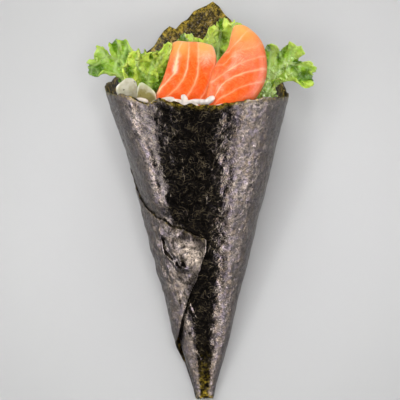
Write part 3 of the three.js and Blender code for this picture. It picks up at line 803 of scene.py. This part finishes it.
def nori_places(across, up, crinkle):
    """The rolled sheet, its places when unrolled, and its values for the finish.

    The flap's columns lean with its free edge, and the rest run straight up the cone.
    """
    column = keyed(NORI_COLUMNS, across)
    rim_run = points_of(column * RIM_DEGREE, 0, 0)
    nibbled = 0.45 * rough(rim_run, 3.1, 1) + 0.25 * rough(rim_run, 1.1, 2)
    z = lerp(TIP_Z + nibbled, keyed(SHEET_TOP, column) + 2 * nibbled, up)
    first = NORI_COLUMNS[0][1]
    share = np.clip((column - first) / (FLAP_BLEND_TURN - first), 0, 1)
    edge_z = points_of(0, 0, z)
    edge_turn = keyed(FLAP_EDGE, z) + rough(edge_z, 2.6, 3) + 0.5 * rough(edge_z, 0.9, 4)
    on_flap = column < FLAP_BLEND_TURN
    turn = np.where(on_flap, lerp(edge_turn, FLAP_BLEND_TURN, share), column)

    ideal = cone_skin(turn, z, 0.0)
    front = (turn + 180) % 360 - 180
    flat = on_front(front, z, 1.2 * rough(ideal, 4.5, 26))
    rings = np.hypot((front - RINGS_TURN) * RINGS_DEGREE, z - RINGS_Z) + 0.9 * rough(ideal, 3, 33)
    lift = sum(distance * patch(turn, z, *place) for *place, distance in FLAP_LIFTS)
    edge_gap = np.radians(turn - edge_turn) * (z * math.tan(HALF_ANGLE) + SKIN_OFFSET)
    lift += 0.35 * bell(edge_gap / 2.2) * (1 + rough(edge_z, 5, 11))
    lift -= 0.42 * bell((keyed(SHEET_TOP, column) - z) / 5) * smoothstep(turn, 55, 85)

    relief = nori_relief(ideal, flat, front, z, rings, on_flap, crinkle)
    pressed = bell((back_turn(turn) - turn) / 20)
    off = layer_off(turn) + np.where(on_flap, lift, 0) + relief * (1 - pressed)
    points = cone_skin(turn, z, off, layer_off(back_turn(turn)))
    values = {
        "thin": nori_thin(ideal, column, turn, z, on_flap),
        "satin": nori_satin_sheen_and_shade(ideal, flat, front, z, rings, on_flap),
    }
    slant, spread = z / COSINE, np.radians(turn) * SINE
    return points, points_of(slant * np.cos(spread), slant * np.sin(spread)), values


def nori_finish(settings):
    """The outer side: dark, with pale fibres, rougher patches, a painted pale sheen where the gloss value is
    above 1, painted shade in the reflection where it is below 0, and a painted olive glow where light comes
    through the thin edges.
    """
    finish = Finish("nori_sheet", Specular_IOR_Level=1.0, IOR=1.55)
    sheet, thin, satin = finish.map("sheet"), finish.value("thin"), finish.value("satin")
    dark, pale, edge = (np.array(c) for c in (settings.colour, settings.fibre_colour, settings.edge_colour))
    thread = finish.strokes(sheet, 1.2, 0.33)
    for size, width in ((1.7, 0.33), (2.6, 0.36)):
        thread = finish.math("MAXIMUM", thread, finish.strokes(sheet, size, width))
    cloud = finish.noise(sheet, 3, detail=5, roughness=0.7, distortion=0.6)
    thread = finish.times(thread, finish.ramp(cloud, (0.42, 0.1), (0.62, 1.0)))
    colour = finish.ramp(cloud, (0.4, dark * 0.4), (0.56, dark), (0.7, pale * 0.4))
    colour = finish.mix(thread, colour, pale)
    specks = finish.noise(sheet, 1.5, detail=5, roughness=0.75)
    shades = ((0.42, 0.03), (0.5, 0.4), (0.56, 1.6), (0.64, 3.6))
    olive = finish.ramp(specks, *((at, edge * shade) for at, shade in shades))
    # Painted glow: olive where light comes through the thin edges, with some fibres in it.
    colour = finish.mix(thin, colour, finish.mix(finish.times(thread, 0.5), olive, pale * 3))
    pits = finish.noise(sheet, 0.85, stretch=(1.4, 1, 1), detail=4, roughness=0.7, distortion=1.5)
    # Painted highlight: a pale sheen where the gloss value goes above 1.
    painted_sheen = finish.minus(satin, 1.0, clamp=True)
    painted_sheen = finish.times(painted_sheen, finish.ramp(pits, (0.42, 0.1), (0.54, 1.0)))
    colour = finish.mix(painted_sheen, colour, (0.85, 0.7, 0.57))
    hue = finish.noise(sheet, 2.5, detail=3, roughness=0.6)
    tint = finish.ramp(hue, (0.42, (0.54, 0.43, 0.52)), (0.58, (0.62, 0.45, 0.32)))
    tint = finish.mix(finish.ramp(cloud, (0.45, 0.0), (0.65, 0.8)), tint, (0.97, 0.80, 0.72))
    # The second dim is painted shade in the reflection, where the gloss value goes below 0.
    for dim in (finish.ramp(pits, (0.44, 1.0), (0.55, 0.0)), finish.times(satin, -1.0, clamp=True)):
        tint = finish.mix(dim, tint, (0.1, 0.08, 0.08))
    tint = finish.mix(thread, tint, (0.8, 0.7, 0.58))
    tint = finish.mix(thin, tint, (0.16, 0.11, 0.04))
    blotch = finish.noise(sheet, 1.4, detail=4, roughness=0.75)
    smooth, rougher = (finish.ramp(blotch, (0.38, a), (0.64, b)) for a, b in ((0.1, 0.24), (0.22, 0.5)))
    dents = finish.noise(sheet, 2.6, detail=4, roughness=0.6, distortion=0.9)
    relief, normal = finish.ramp(satin, (0.0, 0.5), (1.0, 1.0)), None
    for height, distance in ((dents, 0.32), (pits, 0.06), (thread, 0.09)):
        normal = finish.bump(height, distance, relief, under=normal)
    gloss = finish.mix(satin, smooth, rougher)
    return finish.apply(Base_Color=colour, Roughness=gloss, Specular_Tint=tint, Normal=normal)


def inside_finish(settings):
    """The inner side: dark with pale mottles, painted grey glints, and a painted olive glow where light
    comes through the thin edges.
    """
    finish = Finish("nori_inside", Roughness=0.42, Specular_IOR_Level=0.22)
    sheet, edge = finish.map("sheet"), np.array(settings.edge_colour)
    cloud = finish.noise(sheet, 2, detail=3, roughness=0.65, distortion=0.5)
    colour = finish.ramp(
        cloud, (0.47, (0.005, 0.003, 0.002)), (0.53, (0.03, 0.017, 0.004)), (0.57, (0.12, 0.075, 0.008)),
        (0.63, (0.45, 0.32, 0.08)),
    )
    # Painted glints: pale grey specks that stand in for highlights.
    specks = finish.ramp(finish.noise(sheet, 0.8, detail=3, roughness=0.7), (0.58, 0.0), (0.63, 0.7))
    colour = finish.mix(specks, colour, (0.34, 0.29, 0.26))
    olive = finish.noise(sheet, 1.5, detail=5, roughness=0.75)
    olive = finish.ramp(olive, (0.44, edge * 0.08), (0.52, edge), (0.62, edge * 2.6))
    # Painted glow: olive where light comes through the thin edges.
    colour = finish.mix(finish.value("thin"), colour, olive)
    return finish.apply(Base_Color=colour, Normal=finish.bump(cloud, 0.3))


class TEMAKI_OT_nori(bpy.types.Operator):
    """Adds the crinkled sheet of nori, rolled nearly twice round with its corner standing up behind"""

    bl_idname = "temaki.nori"
    bl_label = "Nori"

    def execute(self, context):
        settings = context.scene.temaki_nori
        mesh, across, up = grid_mesh("nori_wrap", *NORI_GRID)
        points, sheet, values = nori_places(across, up, settings.crinkle / MM)
        places = lay_down(points)
        places[:, 2] = np.maximum(places[:, 2], settings.thickness / 2)
        place_at(mesh, places)
        add_piece(
            mesh, "nori", "nori", inside_finish(settings), nori_finish(settings),
            thickness=settings.thickness, maps={"sheet": sheet}, values=values,
        )
        return {"FINISHED"}


# ---------------------------------------------------------------- salmon

def slice_places(slice_, cube, thickness):
    """A cut cube as a slice: lofted along its stations, with rounded edges and ends."""
    stations = np.array(slice_["stations"], float)
    left, right = stations[:, [0, 4, 1]], stations[:, [2, 4, 3]]
    across, through, reach = slab_section(cube)
    along = (cube[:, 2] + 1) / 2
    a, b = spline(left, along), spline(right, along)
    ahead = spline(left, along + 0.01) + spline(right, along + 0.01)
    ahead -= spline(left, along - 0.01) + spline(right, along - 0.01)
    length = np.maximum(np.hypot(ahead[:, 1], ahead[:, 2]), 1e-9)
    forward = ahead / length[:, None]
    forward[:, 0] = 0
    face = points_of(0, forward[:, 2], -forward[:, 1])
    to_end = np.clip(np.minimum(along, 1 - along) * ROUND_ENDS, 0, 1)
    round_off = 0.4 + 0.6 * np.sqrt(1 - (1 - to_end) ** 2)
    s = across * (0.5 + 0.5 * round_off)
    points = lerp(a, b, (0.5 + s / 2)[:, None])
    points += face * (through * round_off * thickness / 2)[:, None]
    cap = (np.abs(cube[:, 2]) > 0.999) * (1 - reach**2)
    points += forward * (np.sign(cube[:, 2]) * cap * 0.7)[:, None]
    points[:, 1] += slice_["bow"] * s * s
    return points, face, s, along


def fat_phase(slice_, points):
    """How many fat lines lie before each point, counted across the slice, with the part between."""
    run, cross = (points[:, 2], points[:, 0]) if slice_["runs_up"] else (points[:, 0], -points[:, 2])
    lines = np.stack([keyed(line, run) for line in slice_["fat_lines"]])
    if not slice_["runs_up"]:
        lines = -lines
    steps = np.clip((cross - lines[:-1]) / (lines[1:] - lines[:-1]), 0, 1).sum(axis=0)
    before = np.minimum(0, (cross - lines[0]) / FAT_PITCH)
    after = np.maximum(0, (cross - lines[-1]) / FAT_PITCH)
    return steps + before + after, run


def salmon_finish(settings):
    """Orange flesh with fat lines, fine fibres between them, milky spots, some of them painted glare, and a
    painted pale highlight on the bent-back end and along the edges.
    """
    finish = moist(
        "salmon_flesh", 0.2, 2, (1.0, 0.35, 0.2),
        Roughness=0.36, Specular_IOR_Level=0.12, Coat_Weight=0.02, Coat_Roughness=0.15,
    )
    fat, grain, place = finish.map("fat"), finish.map("grain"), finish.object_place()
    phase = finish.add("SeparateXYZ", fat).outputs["X"]
    wander = finish.noise(place, 2 * MM, detail=3)
    phase = finish.plus(phase, finish.times(finish.minus(wander, 0.5), 0.2))
    near = finish.math("PINGPONG", phase, 0.5)
    line = finish.ramp(near, (0.0, 1.0), (0.045, 0.7), (0.1, 0.2), (0.22, 0.0))
    line = finish.times(line, finish.value("fat_strength"), clamp=True)
    fibres = finish.noise(grain, 0.55, stretch=(1, 4.5, 1), detail=4, roughness=0.65, distortion=0.9)
    mottle = finish.noise(place, 1.2 * MM, detail=4, roughness=0.7)
    colour, fat_colour = settings.flesh, np.array(settings.fat)
    # Pale flesh in random mottles and fibres, then a painted highlight on the bent-back end and the edges.
    for share in (
        finish.ramp(mottle, (0.35, 0.0), (0.7, 0.2)), finish.ramp(fibres, (0.5, 0.0), (0.7, 0.26)),
        finish.value("pale"),
    ):
        colour = finish.mix(share, colour, settings.pale_flesh_and_highlight)
    # Milky spots, some of which are painted glare.
    milk = finish.times(finish.value("milk"), finish.ramp(fibres, (0.35, 0.3), (0.65, 1.0)))
    colour = finish.mix(milk, colour, fat_colour * (1.15, 1.15, 1.6))
    colour = finish.mix(line, colour, fat_colour)
    height = finish.plus(finish.times(line, -0.3), finish.times(fibres, 0.7))
    return finish.apply(Base_Color=colour, Normal=finish.bump(height, 0.18))


class TEMAKI_OT_salmon(bpy.types.Operator):
    """Adds the two slices of raw salmon with their fat lines"""

    bl_idname = "temaki.salmon"
    bl_label = "Salmon slices"

    def execute(self, context):
        settings = context.scene.temaki_salmon
        material = salmon_finish(settings)
        for node, slice_ in SALMON.items():
            mesh, cube = block_mesh(node + "_slice", SLICE_CUTS)
            points, face, s, along = slice_places(slice_, cube, settings.thickness / MM)
            bumps = 0.22 * rough(points, 4, 12) + 0.1 * rough(points, 1.6, 13)
            outward = np.sign(cube[:, 1])[:, None] * face * (np.abs(cube[:, 1]) > 0.9)[:, None]
            place_at(mesh, lay_down(points - outward * bumps[:, None]))
            phase, run = fat_phase(slice_, points)
            slant = np.abs(phase - np.round(phase)) * 5
            lines = np.arange(-1, len(slice_["strengths"]) + 1)
            strength = np.interp(phase, lines, [0, *slice_["strengths"], 0])
            strength *= 1 + 0.5 * rough(points, 5, 14)
            # Milky tone at random, plus the listed spots, some of which are painted glare.
            milk = 0.15 * rough(points, 3.5, 22)
            # Painted highlight: paler towards the end that bends back.
            pale = smoothstep(along, *slice_["pale_top"]) * keyed(slice_["pale_by"], phase)
            values = {
                "fat_strength": np.clip(strength + spotted(points, slice_["streaks"]), 0, 1.2),
                "milk": np.clip(milk + spotted(points, slice_["milk"]), 0, 0.9),
                # Painted highlight along the slice's rounded edges.
                "pale": np.maximum(pale, 0.2 * bell((np.abs(s) - 1) / 0.09)),
            }
            maps = {"fat": points_of(phase, run / 10), "grain": points_of(run - slant, run + slant)}
            add_piece(mesh, node, "salmon", material, maps=maps, values=values)
        return {"FINISHED"}


# ---------------------------------------------------------------- lettuce

PUCKER_STEP = 0.05  # over which their slope is measured


def puckers(points):
    """How far the leaf's skin puckers forward at each point."""
    return 0.85 * rough(points, 3.4, 18) + 0.65 * rough(points, 1.7, 19) + 0.12 * rough(points, 0.9, 31)


def leaf_places(leaf, across, up):
    """A curly leaf: from its foot to its margin, puckered, with a frill near the margin."""
    foot = lerp(np.array(leaf["foot"][0]), np.array(leaf["foot"][1]), across[:, None])
    margin = even_spline(leaf["margin"], across)
    way = even_spline(leaf["margin"], across + 0.01) - even_spline(leaf["margin"], across - 0.01)
    way /= np.maximum(np.linalg.norm(way, axis=1), 1e-9)[:, None]
    waist_x, waist_z, pull = leaf["waist"]
    gathered = pull * np.sqrt(np.sin(np.pi * np.clip(across, 0, 1)).clip(0))[:, None]
    waist = lerp((foot + margin) / 2, np.array([waist_x, waist_z]), gathered)
    out = margin - waist
    out /= np.linalg.norm(out, axis=1)[:, None]
    folds, depth, curls, curl_depth = leaf["frill"]
    wander = points_of(across * 9, up * 1.2, 0)
    turn = 2 * np.pi * (folds * across + leaf["phase"]) + 1.6 * rough(wander, 1.0, 15)
    outer = smoothstep(up, 0.45, 1)
    rim = smoothstep(up, leaf["rim"], 1)
    run = points_of(across * 45, 0, 0)
    teeth = 2.2 * np.abs(rough(run, 1.9, 17)) + 1.2 * np.abs(rough(run, 0.8, 23)) - 0.9
    flat = lerp(lerp(foot, waist, up[:, None]), lerp(waist, margin, up[:, None]), up[:, None])
    quick = 2 * np.pi * curls * across + 2.4 * rough(wander, 0.5, 16)
    quick += 2.6 * rough(points_of(flat[:, 0], 0, flat[:, 1]), 3.2, 24)
    flat += out * (0.9 * teeth * outer**2 + 0.5 * curl_depth * np.cos(quick) * rim)[:, None]
    sway = 0.3 * depth * np.sin(2 * turn) * outer + 0.5 * curl_depth * np.sin(2 * quick) * rim
    flat -= way * sway[:, None]
    points = points_of(flat[:, 0], 0, flat[:, 1])
    swell = 2.2 * rough(points, 8, leaf["phase"] * 10) * (0.35 + 0.65 * up)
    crumple, start = puckers(points), points.copy()
    amount = leaf["crumple"] * smoothstep(up, 0, 0.3)
    for axis in (0, 2):
        slope = (puckers(start + PUCKER_STEP * np.eye(3)[axis]) - crumple) / PUCKER_STEP
        points[:, axis] -= 0.8 * amount * slope
    wave = depth * outer**1.4 * np.sin(turn) + curl_depth * rim * np.sin(quick)
    swell += amount * crumple
    points[:, 1] = leaf["y"] + leaf["lean"] * up**2 + swell + wave - leaf["curl"] * rim**1.5
    return points, np.sin(turn) * outer + 0.6 * np.sin(quick) * rim + crumple


def lettuce_finish(settings):
    """Green with pale veins, a net of fine ones and dark specks; shade is painted deep green in the hollows,
    and a pale highlight on the crests.
    """
    finish = moist("lettuce_leaf", 0.3, 1.5, (0.45, 1.0, 0.12), Roughness=0.27, Specular_IOR_Level=0.5)
    place, freshness = finish.object_place(), finish.value("fresh")
    lamina = finish.noise(place, 2.4 * MM, detail=5, roughness=0.7)
    cells = finish.cells(place, 1.9 * MM)
    # Painted light: the hollow value, with noise, paints pale highlights on the crests and deep green shade
    # in the hollows.
    hollow = finish.plus(finish.value("hollow"), finish.times(finish.minus(lamina, 0.5), 0.9))
    colour = finish.mix(freshness, settings.leaf, settings.fresh)
    pale = finish.mix(freshness, settings.vein, np.array(settings.fresh) * 1.35)
    colour = finish.mix(finish.ramp(hollow, (0.1, 0.9), (0.44, 0.0)), colour, pale)
    colour = finish.mix(finish.ramp(hollow, (0.5, 0.0), (0.95, 0.95)), colour, settings.deep_and_shade)
    colour = finish.mix(finish.ramp(cells, (0.0, 0.3), (0.12, 0.0)), colour, settings.vein)
    speck = finish.ramp(finish.noise(place, 1.1 * MM, detail=1), (0.25, 1.0), (0.29, 0.0))
    colour = finish.mix(finish.times(speck, freshness, clamp=True), colour, (0.01, 0.02, 0.0))
    colour = finish.mix(finish.value("vein"), colour, settings.vein)
    height = finish.plus(cells, finish.times(lamina, 0.8))
    height = finish.plus(height, finish.times(finish.noise(place, 0.9 * MM, detail=2), 0.8))
    return finish.apply(Base_Color=colour, Normal=finish.bump(height, 0.75))


class TEMAKI_OT_lettuce(bpy.types.Operator):
    """Adds the curly lettuce leaves with their ruffles and veins"""

    bl_idname = "temaki.lettuce"
    bl_label = "Lettuce"

    def execute(self, context):
        settings = context.scene.temaki_lettuce
        material = lettuce_finish(settings)
        for node, leaf in LETTUCE.items():
            mesh, across, up = grid_mesh(node + "_leaf", *LEAF_GRID)
            points, crest = leaf_places(leaf, across, up)
            place_at(mesh, lay_down(points))
            width = 0.42 + 0.35 * (1 - up)
            veins = [bell(line_distance(points[:, [0, 2]], line) / width) for line in leaf["veins"]]
            values = {
                "vein": np.max(veins, axis=0),
                "fresh": leaf["fresh"] * (0.6 + 0.4 * up) + 0.35 * smoothstep(up, 0.85, 1),
                # Painted shade and highlight: higher where the leaf lies further back and in the hollows'
                # spots, lower where it stands forward.
                "hollow": np.clip(0.42 + 0.42 * crest + spotted(points, leaf["shaded_hollows"]), 0, 1),
            }
            add_piece(mesh, node, "lettuce", material, thickness=settings.thickness, values=values)
        return {"FINISHED"}


# ---------------------------------------------------------------- pale rib pieces

def rib_places(rib, cube, thickness):
    """A cut cube as a thick slab that fills its outline, with rounded edges."""
    across, through, _ = slab_section(cube, 8)
    share, up = (across + 1) / 2, (cube[:, 2] + 1) / 2
    foot = lerp(np.array(rib["foot"][0]), np.array(rib["foot"][1]), share[:, None])
    flat = lerp(foot, even_spline(rib["margin"], share), up[:, None])
    thin = np.sqrt(np.clip(1 - np.clip((up - 0.9) / 0.1, 0, 1) ** 2, 0.1, 1))
    y = rib["y"] + rib["lean"] * up + rib["bulge"] * (across**2 - 1) + through * thin * thickness / 2
    return points_of(flat[:, 0], y, flat[:, 1])


def rib_finish(settings):
    """Watery and pale, olive low down, with dark specks and a green upper edge."""
    finish = moist("rib_flesh", 0.35, 2, (1.0, 0.9, 0.5), Roughness=0.3, Specular_IOR_Level=0.5)
    place = finish.object_place()
    mottle = finish.noise(place, 2.4 * MM, detail=3)
    colour = finish.mix(finish.times(finish.value("low"), mottle, clamp=True), settings.pale, settings.olive)
    colour = finish.mix(finish.ramp(mottle, (0.4, 0.0), (0.6, 0.4)), colour, settings.olive)
    specks = finish.ramp(finish.noise(place, 0.9 * MM, detail=2), (0.27, 1.0), (0.33, 0.0))
    colour = finish.mix(specks, colour, (0.02, 0.02, 0.01))
    colour = finish.mix(finish.value("edge"), colour, (0.5, 0.6, 0.26))
    return finish.apply(Base_Color=colour, Normal=finish.bump(mottle, 0.3))


class TEMAKI_OT_ribs(bpy.types.Operator):
    """Adds the two pale pieces of lettuce rib inside the left of the rim"""

    bl_idname = "temaki.ribs"
    bl_label = "Lettuce ribs"

    def execute(self, context):
        settings = context.scene.temaki_rib
        material = rib_finish(settings)
        for node, rib in RIBS.items():
            mesh, cube = block_mesh(node + "_piece", RIB_CUTS)
            points = rib_places(rib, cube, settings.thickness / MM)
            points[:, 1] += 0.2 * rough(points, 2.5, 20)
            place_at(mesh, lay_down(points))
            up = (cube[:, 2] + 1) / 2
            values = {"low": rib["olive"] * (1 - up**3), "edge": rib["edge"] * smoothstep(up, 0.86, 1)}
            add_piece(mesh, node, "lettuce_rib", material, values=values)
        return {"FINISHED"}


# ---------------------------------------------------------------- rice

def rice_top(x, y):
    """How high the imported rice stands: a mound behind the salmon, a bank at the left of the rim."""
    middle = smoothstep(y, -9, -3) * (1 - smoothstep(y, 7, 18))
    mound = RICE_MOUND * middle * bell((x - 2) / 15)
    outer = np.where(y < 0, smoothstep(np.hypot(x, y), 22, 25), 0)
    bank = RICE_BANK * outer * smoothstep(x, -12, -9) * (1 - smoothstep(x, 0, 2.5))
    return RICE_TOP_Z + mound + bank


def rice_core():
    """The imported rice: a sphere reshaped to the cone's inside, with a lumpy top."""
    bm = bmesh.new()
    bmesh.ops.create_uvsphere(bm, u_segments=90, v_segments=70, radius=1)
    ball = np.array([v.co for v in bm.verts])
    down = np.arccos(np.clip(ball[:, 2], -1, 1)) / math.pi
    angle = np.arctan2(ball[:, 1], ball[:, 0])
    turn = -np.degrees(np.arctan2(np.cos(angle), -np.sin(angle)))
    z = lerp(RICE_TOP_Z, RICE_BOTTOM_Z, np.clip((down - BALL_TOP) / (BALL_TIP - BALL_TOP), 0, 1))
    wall = cone_skin(turn, z, -RICE_INSET)
    share = np.clip(down / BALL_TOP, 0, 1) * np.clip((1 - down) / (1 - BALL_TIP), 0, 1)
    points = wall * points_of(share, share, 1)
    on_top = down < BALL_TOP
    points[:, 2] = np.where(on_top, rice_top(points[:, 0], points[:, 1]) - 1, points[:, 2])
    points[:, 2] += np.where(on_top, 0.8 * rough(points, 2.6, 21), 0)
    for vertex, place in zip(bm.verts, lay_down(points)):
        vertex.co = place
    return bm


def add_grain(bm, place, length, width, heading, tilt):
    """One cooked grain: a small ball drawn out and bent a little."""
    turn = Euler((0, math.radians(tilt), math.radians(heading))).to_matrix().to_4x4()
    size = Matrix.Diagonal((length, width, width, 1))
    made = bmesh.ops.create_icosphere(bm, subdivisions=2, radius=0.5, matrix=Matrix.Identity(4))
    for vertex in made["verts"]:
        x, y, z = vertex.co
        blunt = 1 + 0.35 * (abs(2 * x) ** 2)
        grain = Vector((x, y * blunt + 0.18 * x * x, z * blunt))
        upright = turn @ size @ grain
        vertex.co = lay_down(upright + Vector(place))


def rice_finish(settings):
    """Moist and slightly cloudy."""
    finish = moist("cooked_rice", 0.4, 1.5, (1.0, 0.85, 0.7), Roughness=0.35, Specular_IOR_Level=0.5)
    cloud = finish.noise(finish.object_place(), 1.8 * MM, detail=3)
    duller = np.array(settings.colour) * 0.82
    colour = finish.mix(finish.ramp(cloud, (0.3, 0.0), (0.7, 1.0)), settings.colour, duller)
    return finish.apply(Base_Color=colour, Normal=finish.bump(cloud, 0.12))


class TEMAKI_OT_rice(bpy.types.Operator):
    """Adds the rice: a packed core with loose grains over its top"""

    bl_idname = "temaki.rice"
    bl_label = "Rice"

    def execute(self, context):
        settings = context.scene.temaki_rice
        length, width = settings.grain_length / MM, settings.grain_width / MM
        pick = random.Random(settings.seed)
        bm = rice_core()
        for x, y, z, grain_length, grain_width, heading, tilt in RIM_GRAINS:
            add_grain(bm, (x, y, z), grain_length, grain_width, heading, tilt)
        radius = LOOSE_RADIUS
        while radius > 1:
            count = max(1, round(2 * math.pi * radius / GRAIN_PITCH))
            for k in range(count):
                angle = (k + 0.7 * pick.random()) / count * 2 * math.pi
                reach = radius - 1.4 * pick.random()
                x, y = reach * math.cos(angle), reach * math.sin(angle)
                z = float(rice_top(x, y)) + 0.3 + 0.5 * pick.random()
                behind_rim_grains = y < -20 and abs(x) < 15
                if behind_rim_grains:
                    continue
                size = 0.88 + 0.24 * pick.random()
                heading, tilt = 360 * pick.random(), 60 * pick.random() - 30
                add_grain(bm, (x, y, z), length * size, width * size, heading, tilt)
            radius -= RING_PITCH
        add_piece(mesh_from(bm, "rice_heap"), "rice", "rice", rice_finish(settings))
        return {"FINISHED"}


# ---------------------------------------------------------------- stage

def soft_light(name, place, aim, size, brightness):
    """A flat light whose face glows evenly, turned towards its aim."""
    light = bpy.data.lights.new(name, "AREA")
    light.shape = "RECTANGLE"
    light.size, light.size_y = size
    light.energy = brightness * math.pi * size[0] * size[1]
    lamp = bpy.data.objects.new(name, light)
    lamp.location = place
    lamp.rotation_euler = (aim - place).to_track_quat("-Z", "Y").to_euler()
    lamp.visible_camera = False
    bpy.context.scene.collection.objects.link(lamp)
    return lamp


class TEMAKI_OT_stage(bpy.types.Operator):
    """Adds the pale floor, the soft lights and the camera that looks down on the roll"""

    bl_idname = "temaki.stage"
    bl_label = "Stage"

    def execute(self, context):
        settings = context.scene.temaki_stage
        scene = context.scene
        axis, right, towards = tipped_way(0, 0, 1), tipped_way(1, 0, 0), tipped_way(0, -1, 0)
        aim = Vector(lay_down((0, 0, 0))) + axis * AIM_Z * MM

        camera = bpy.data.cameras.new("camera")
        camera.sensor_width = SENSOR_WIDTH
        camera.lens = SENSOR_WIDTH * settings.distance / VIEW_WIDTH
        camera.clip_start, camera.clip_end = 0.1, 50
        viewer = bpy.data.objects.new("camera", camera)
        side = right * math.cos(AXIS_LEAN) - axis * math.sin(AXIS_LEAN)
        up = right * math.sin(AXIS_LEAN) + axis * math.cos(AXIS_LEAN)
        turn = Matrix((side, up, towards)).transposed()
        viewer.matrix_world = Matrix.Translation(aim + towards * settings.distance) @ turn.to_4x4()
        scene.collection.objects.link(viewer)
        scene.camera = viewer

        mesh, across, back = grid_mesh("floor", 2, 2)
        place_at(mesh, points_of((across - 0.5) * FLOOR_WIDTH, (back - 0.5) * FLOOR_WIDTH, 0))
        floor_finish = Finish("floor", Roughness=1.0, Specular_IOR_Level=0.0)
        tone = floor_finish.noise(floor_finish.object_place(), 0.05, detail=2)
        shade = [c * 0.97 for c in settings.floor]
        mesh.materials.append(floor_finish.apply(Base_Color=floor_finish.mix(tone, settings.floor, shade)))
        floor = bpy.data.objects.new("floor", mesh)
        scene.collection.objects.link(floor)

        for name, degrees, width, level in SOFTBOXES:
            off = math.radians(degrees)
            place = aim + (towards * math.cos(off) + right * math.sin(off)) * SOFTBOX_DISTANCE
            lamp = soft_light(name, place, aim, (SOFTBOX_HEIGHT, width), settings.softbox * level)
            lamp.visible_diffuse = False
        lean = axis * 0.3 - right * 0.95
        above = towards * math.cos(OVERHEAD_LEAN) + lean * math.sin(OVERHEAD_LEAN)
        above = aim + above * OVERHEAD_DISTANCE
        size = (OVERHEAD_WIDTH, OVERHEAD_WIDTH)
        soft_light("overhead", above, aim, size, settings.fill).visible_glossy = False
        beyond = aim + towards * 0.35 + axis
        soft_light("beyond", beyond, aim, BEYOND_SIZE, settings.fill * BEYOND_SHARE).visible_glossy = False
        for k in range(KEY_LAMPS):
            spot = bpy.data.lights.new("key", "SPOT")
            spot.energy = settings.key / KEY_LAMPS
            spot.spot_size, spot.spot_blend = KEY_SPREAD, 1
            spot.shadow_soft_size = KEY_RADIUS
            lamp = bpy.data.objects.new("key", spot)
            turn = math.tau * k / KEY_LAMPS
            lamp.location = above + (right * math.cos(turn) + axis * math.sin(turn)) * KEY_RING
            lamp.rotation_euler = (aim - lamp.location).to_track_quat("-Z", "Y").to_euler()
            lamp.visible_glossy = lamp.visible_camera = False
            scene.collection.objects.link(lamp)
        world = bpy.data.worlds.new("room")
        scene.world = world
        world.use_nodes = True
        background = world.node_tree.nodes["Background"].inputs
        background["Color"].default_value = (1, 1, 1, 1)
        background["Strength"].default_value = settings.sky
        world.cycles_visibility.glossy = False
        scene.view_settings.view_transform = "Standard"
        return {"FINISHED"}


# ---------------------------------------------------------------- panel and main

class TEMAKI_PT_panel(bpy.types.Panel):
    """Lists the settings and the pieces of the hand roll"""

    bl_idname = "TEMAKI_PT_panel"
    bl_label = "Temaki Hand Roll"
    bl_space_type = "VIEW_3D"
    bl_region_type = "UI"
    bl_category = "Temaki"

    def draw(self, context):
        for group, (_, operator) in GROUPS.items():
            box = self.layout.box()
            settings = getattr(context.scene, group)
            for key in settings.bl_rna.properties.keys():
                if key not in ("rna_type", "name"):
                    box.prop(settings, key)
            box.operator(operator.bl_idname)


GROUPS = {
    "temaki_stage": (StageSettings, TEMAKI_OT_stage),
    "temaki_nori": (NoriSettings, TEMAKI_OT_nori),
    "temaki_rice": (RiceSettings, TEMAKI_OT_rice),
    "temaki_salmon": (SalmonSettings, TEMAKI_OT_salmon),
    "temaki_lettuce": (LettuceSettings, TEMAKI_OT_lettuce),
    "temaki_rib": (RibSettings, TEMAKI_OT_ribs),
}


def register():
    for name, (settings, operator) in GROUPS.items():
        bpy.utils.register_class(settings)
        bpy.utils.register_class(operator)
        setattr(bpy.types.Scene, name, PointerProperty(type=settings))
    bpy.utils.register_class(TEMAKI_PT_panel)


def unregister():
    bpy.utils.unregister_class(TEMAKI_PT_panel)
    for name, (settings, operator) in GROUPS.items():
        delattr(bpy.types.Scene, name)
        bpy.utils.unregister_class(operator)
        bpy.utils.unregister_class(settings)


def main():
    register()
    for make in (
        bpy.ops.temaki.stage, bpy.ops.temaki.nori, bpy.ops.temaki.rice,
        bpy.ops.temaki.salmon, bpy.ops.temaki.lettuce, bpy.ops.temaki.ribs,
    ):
        make()


if __name__ == "__main__":
    main()
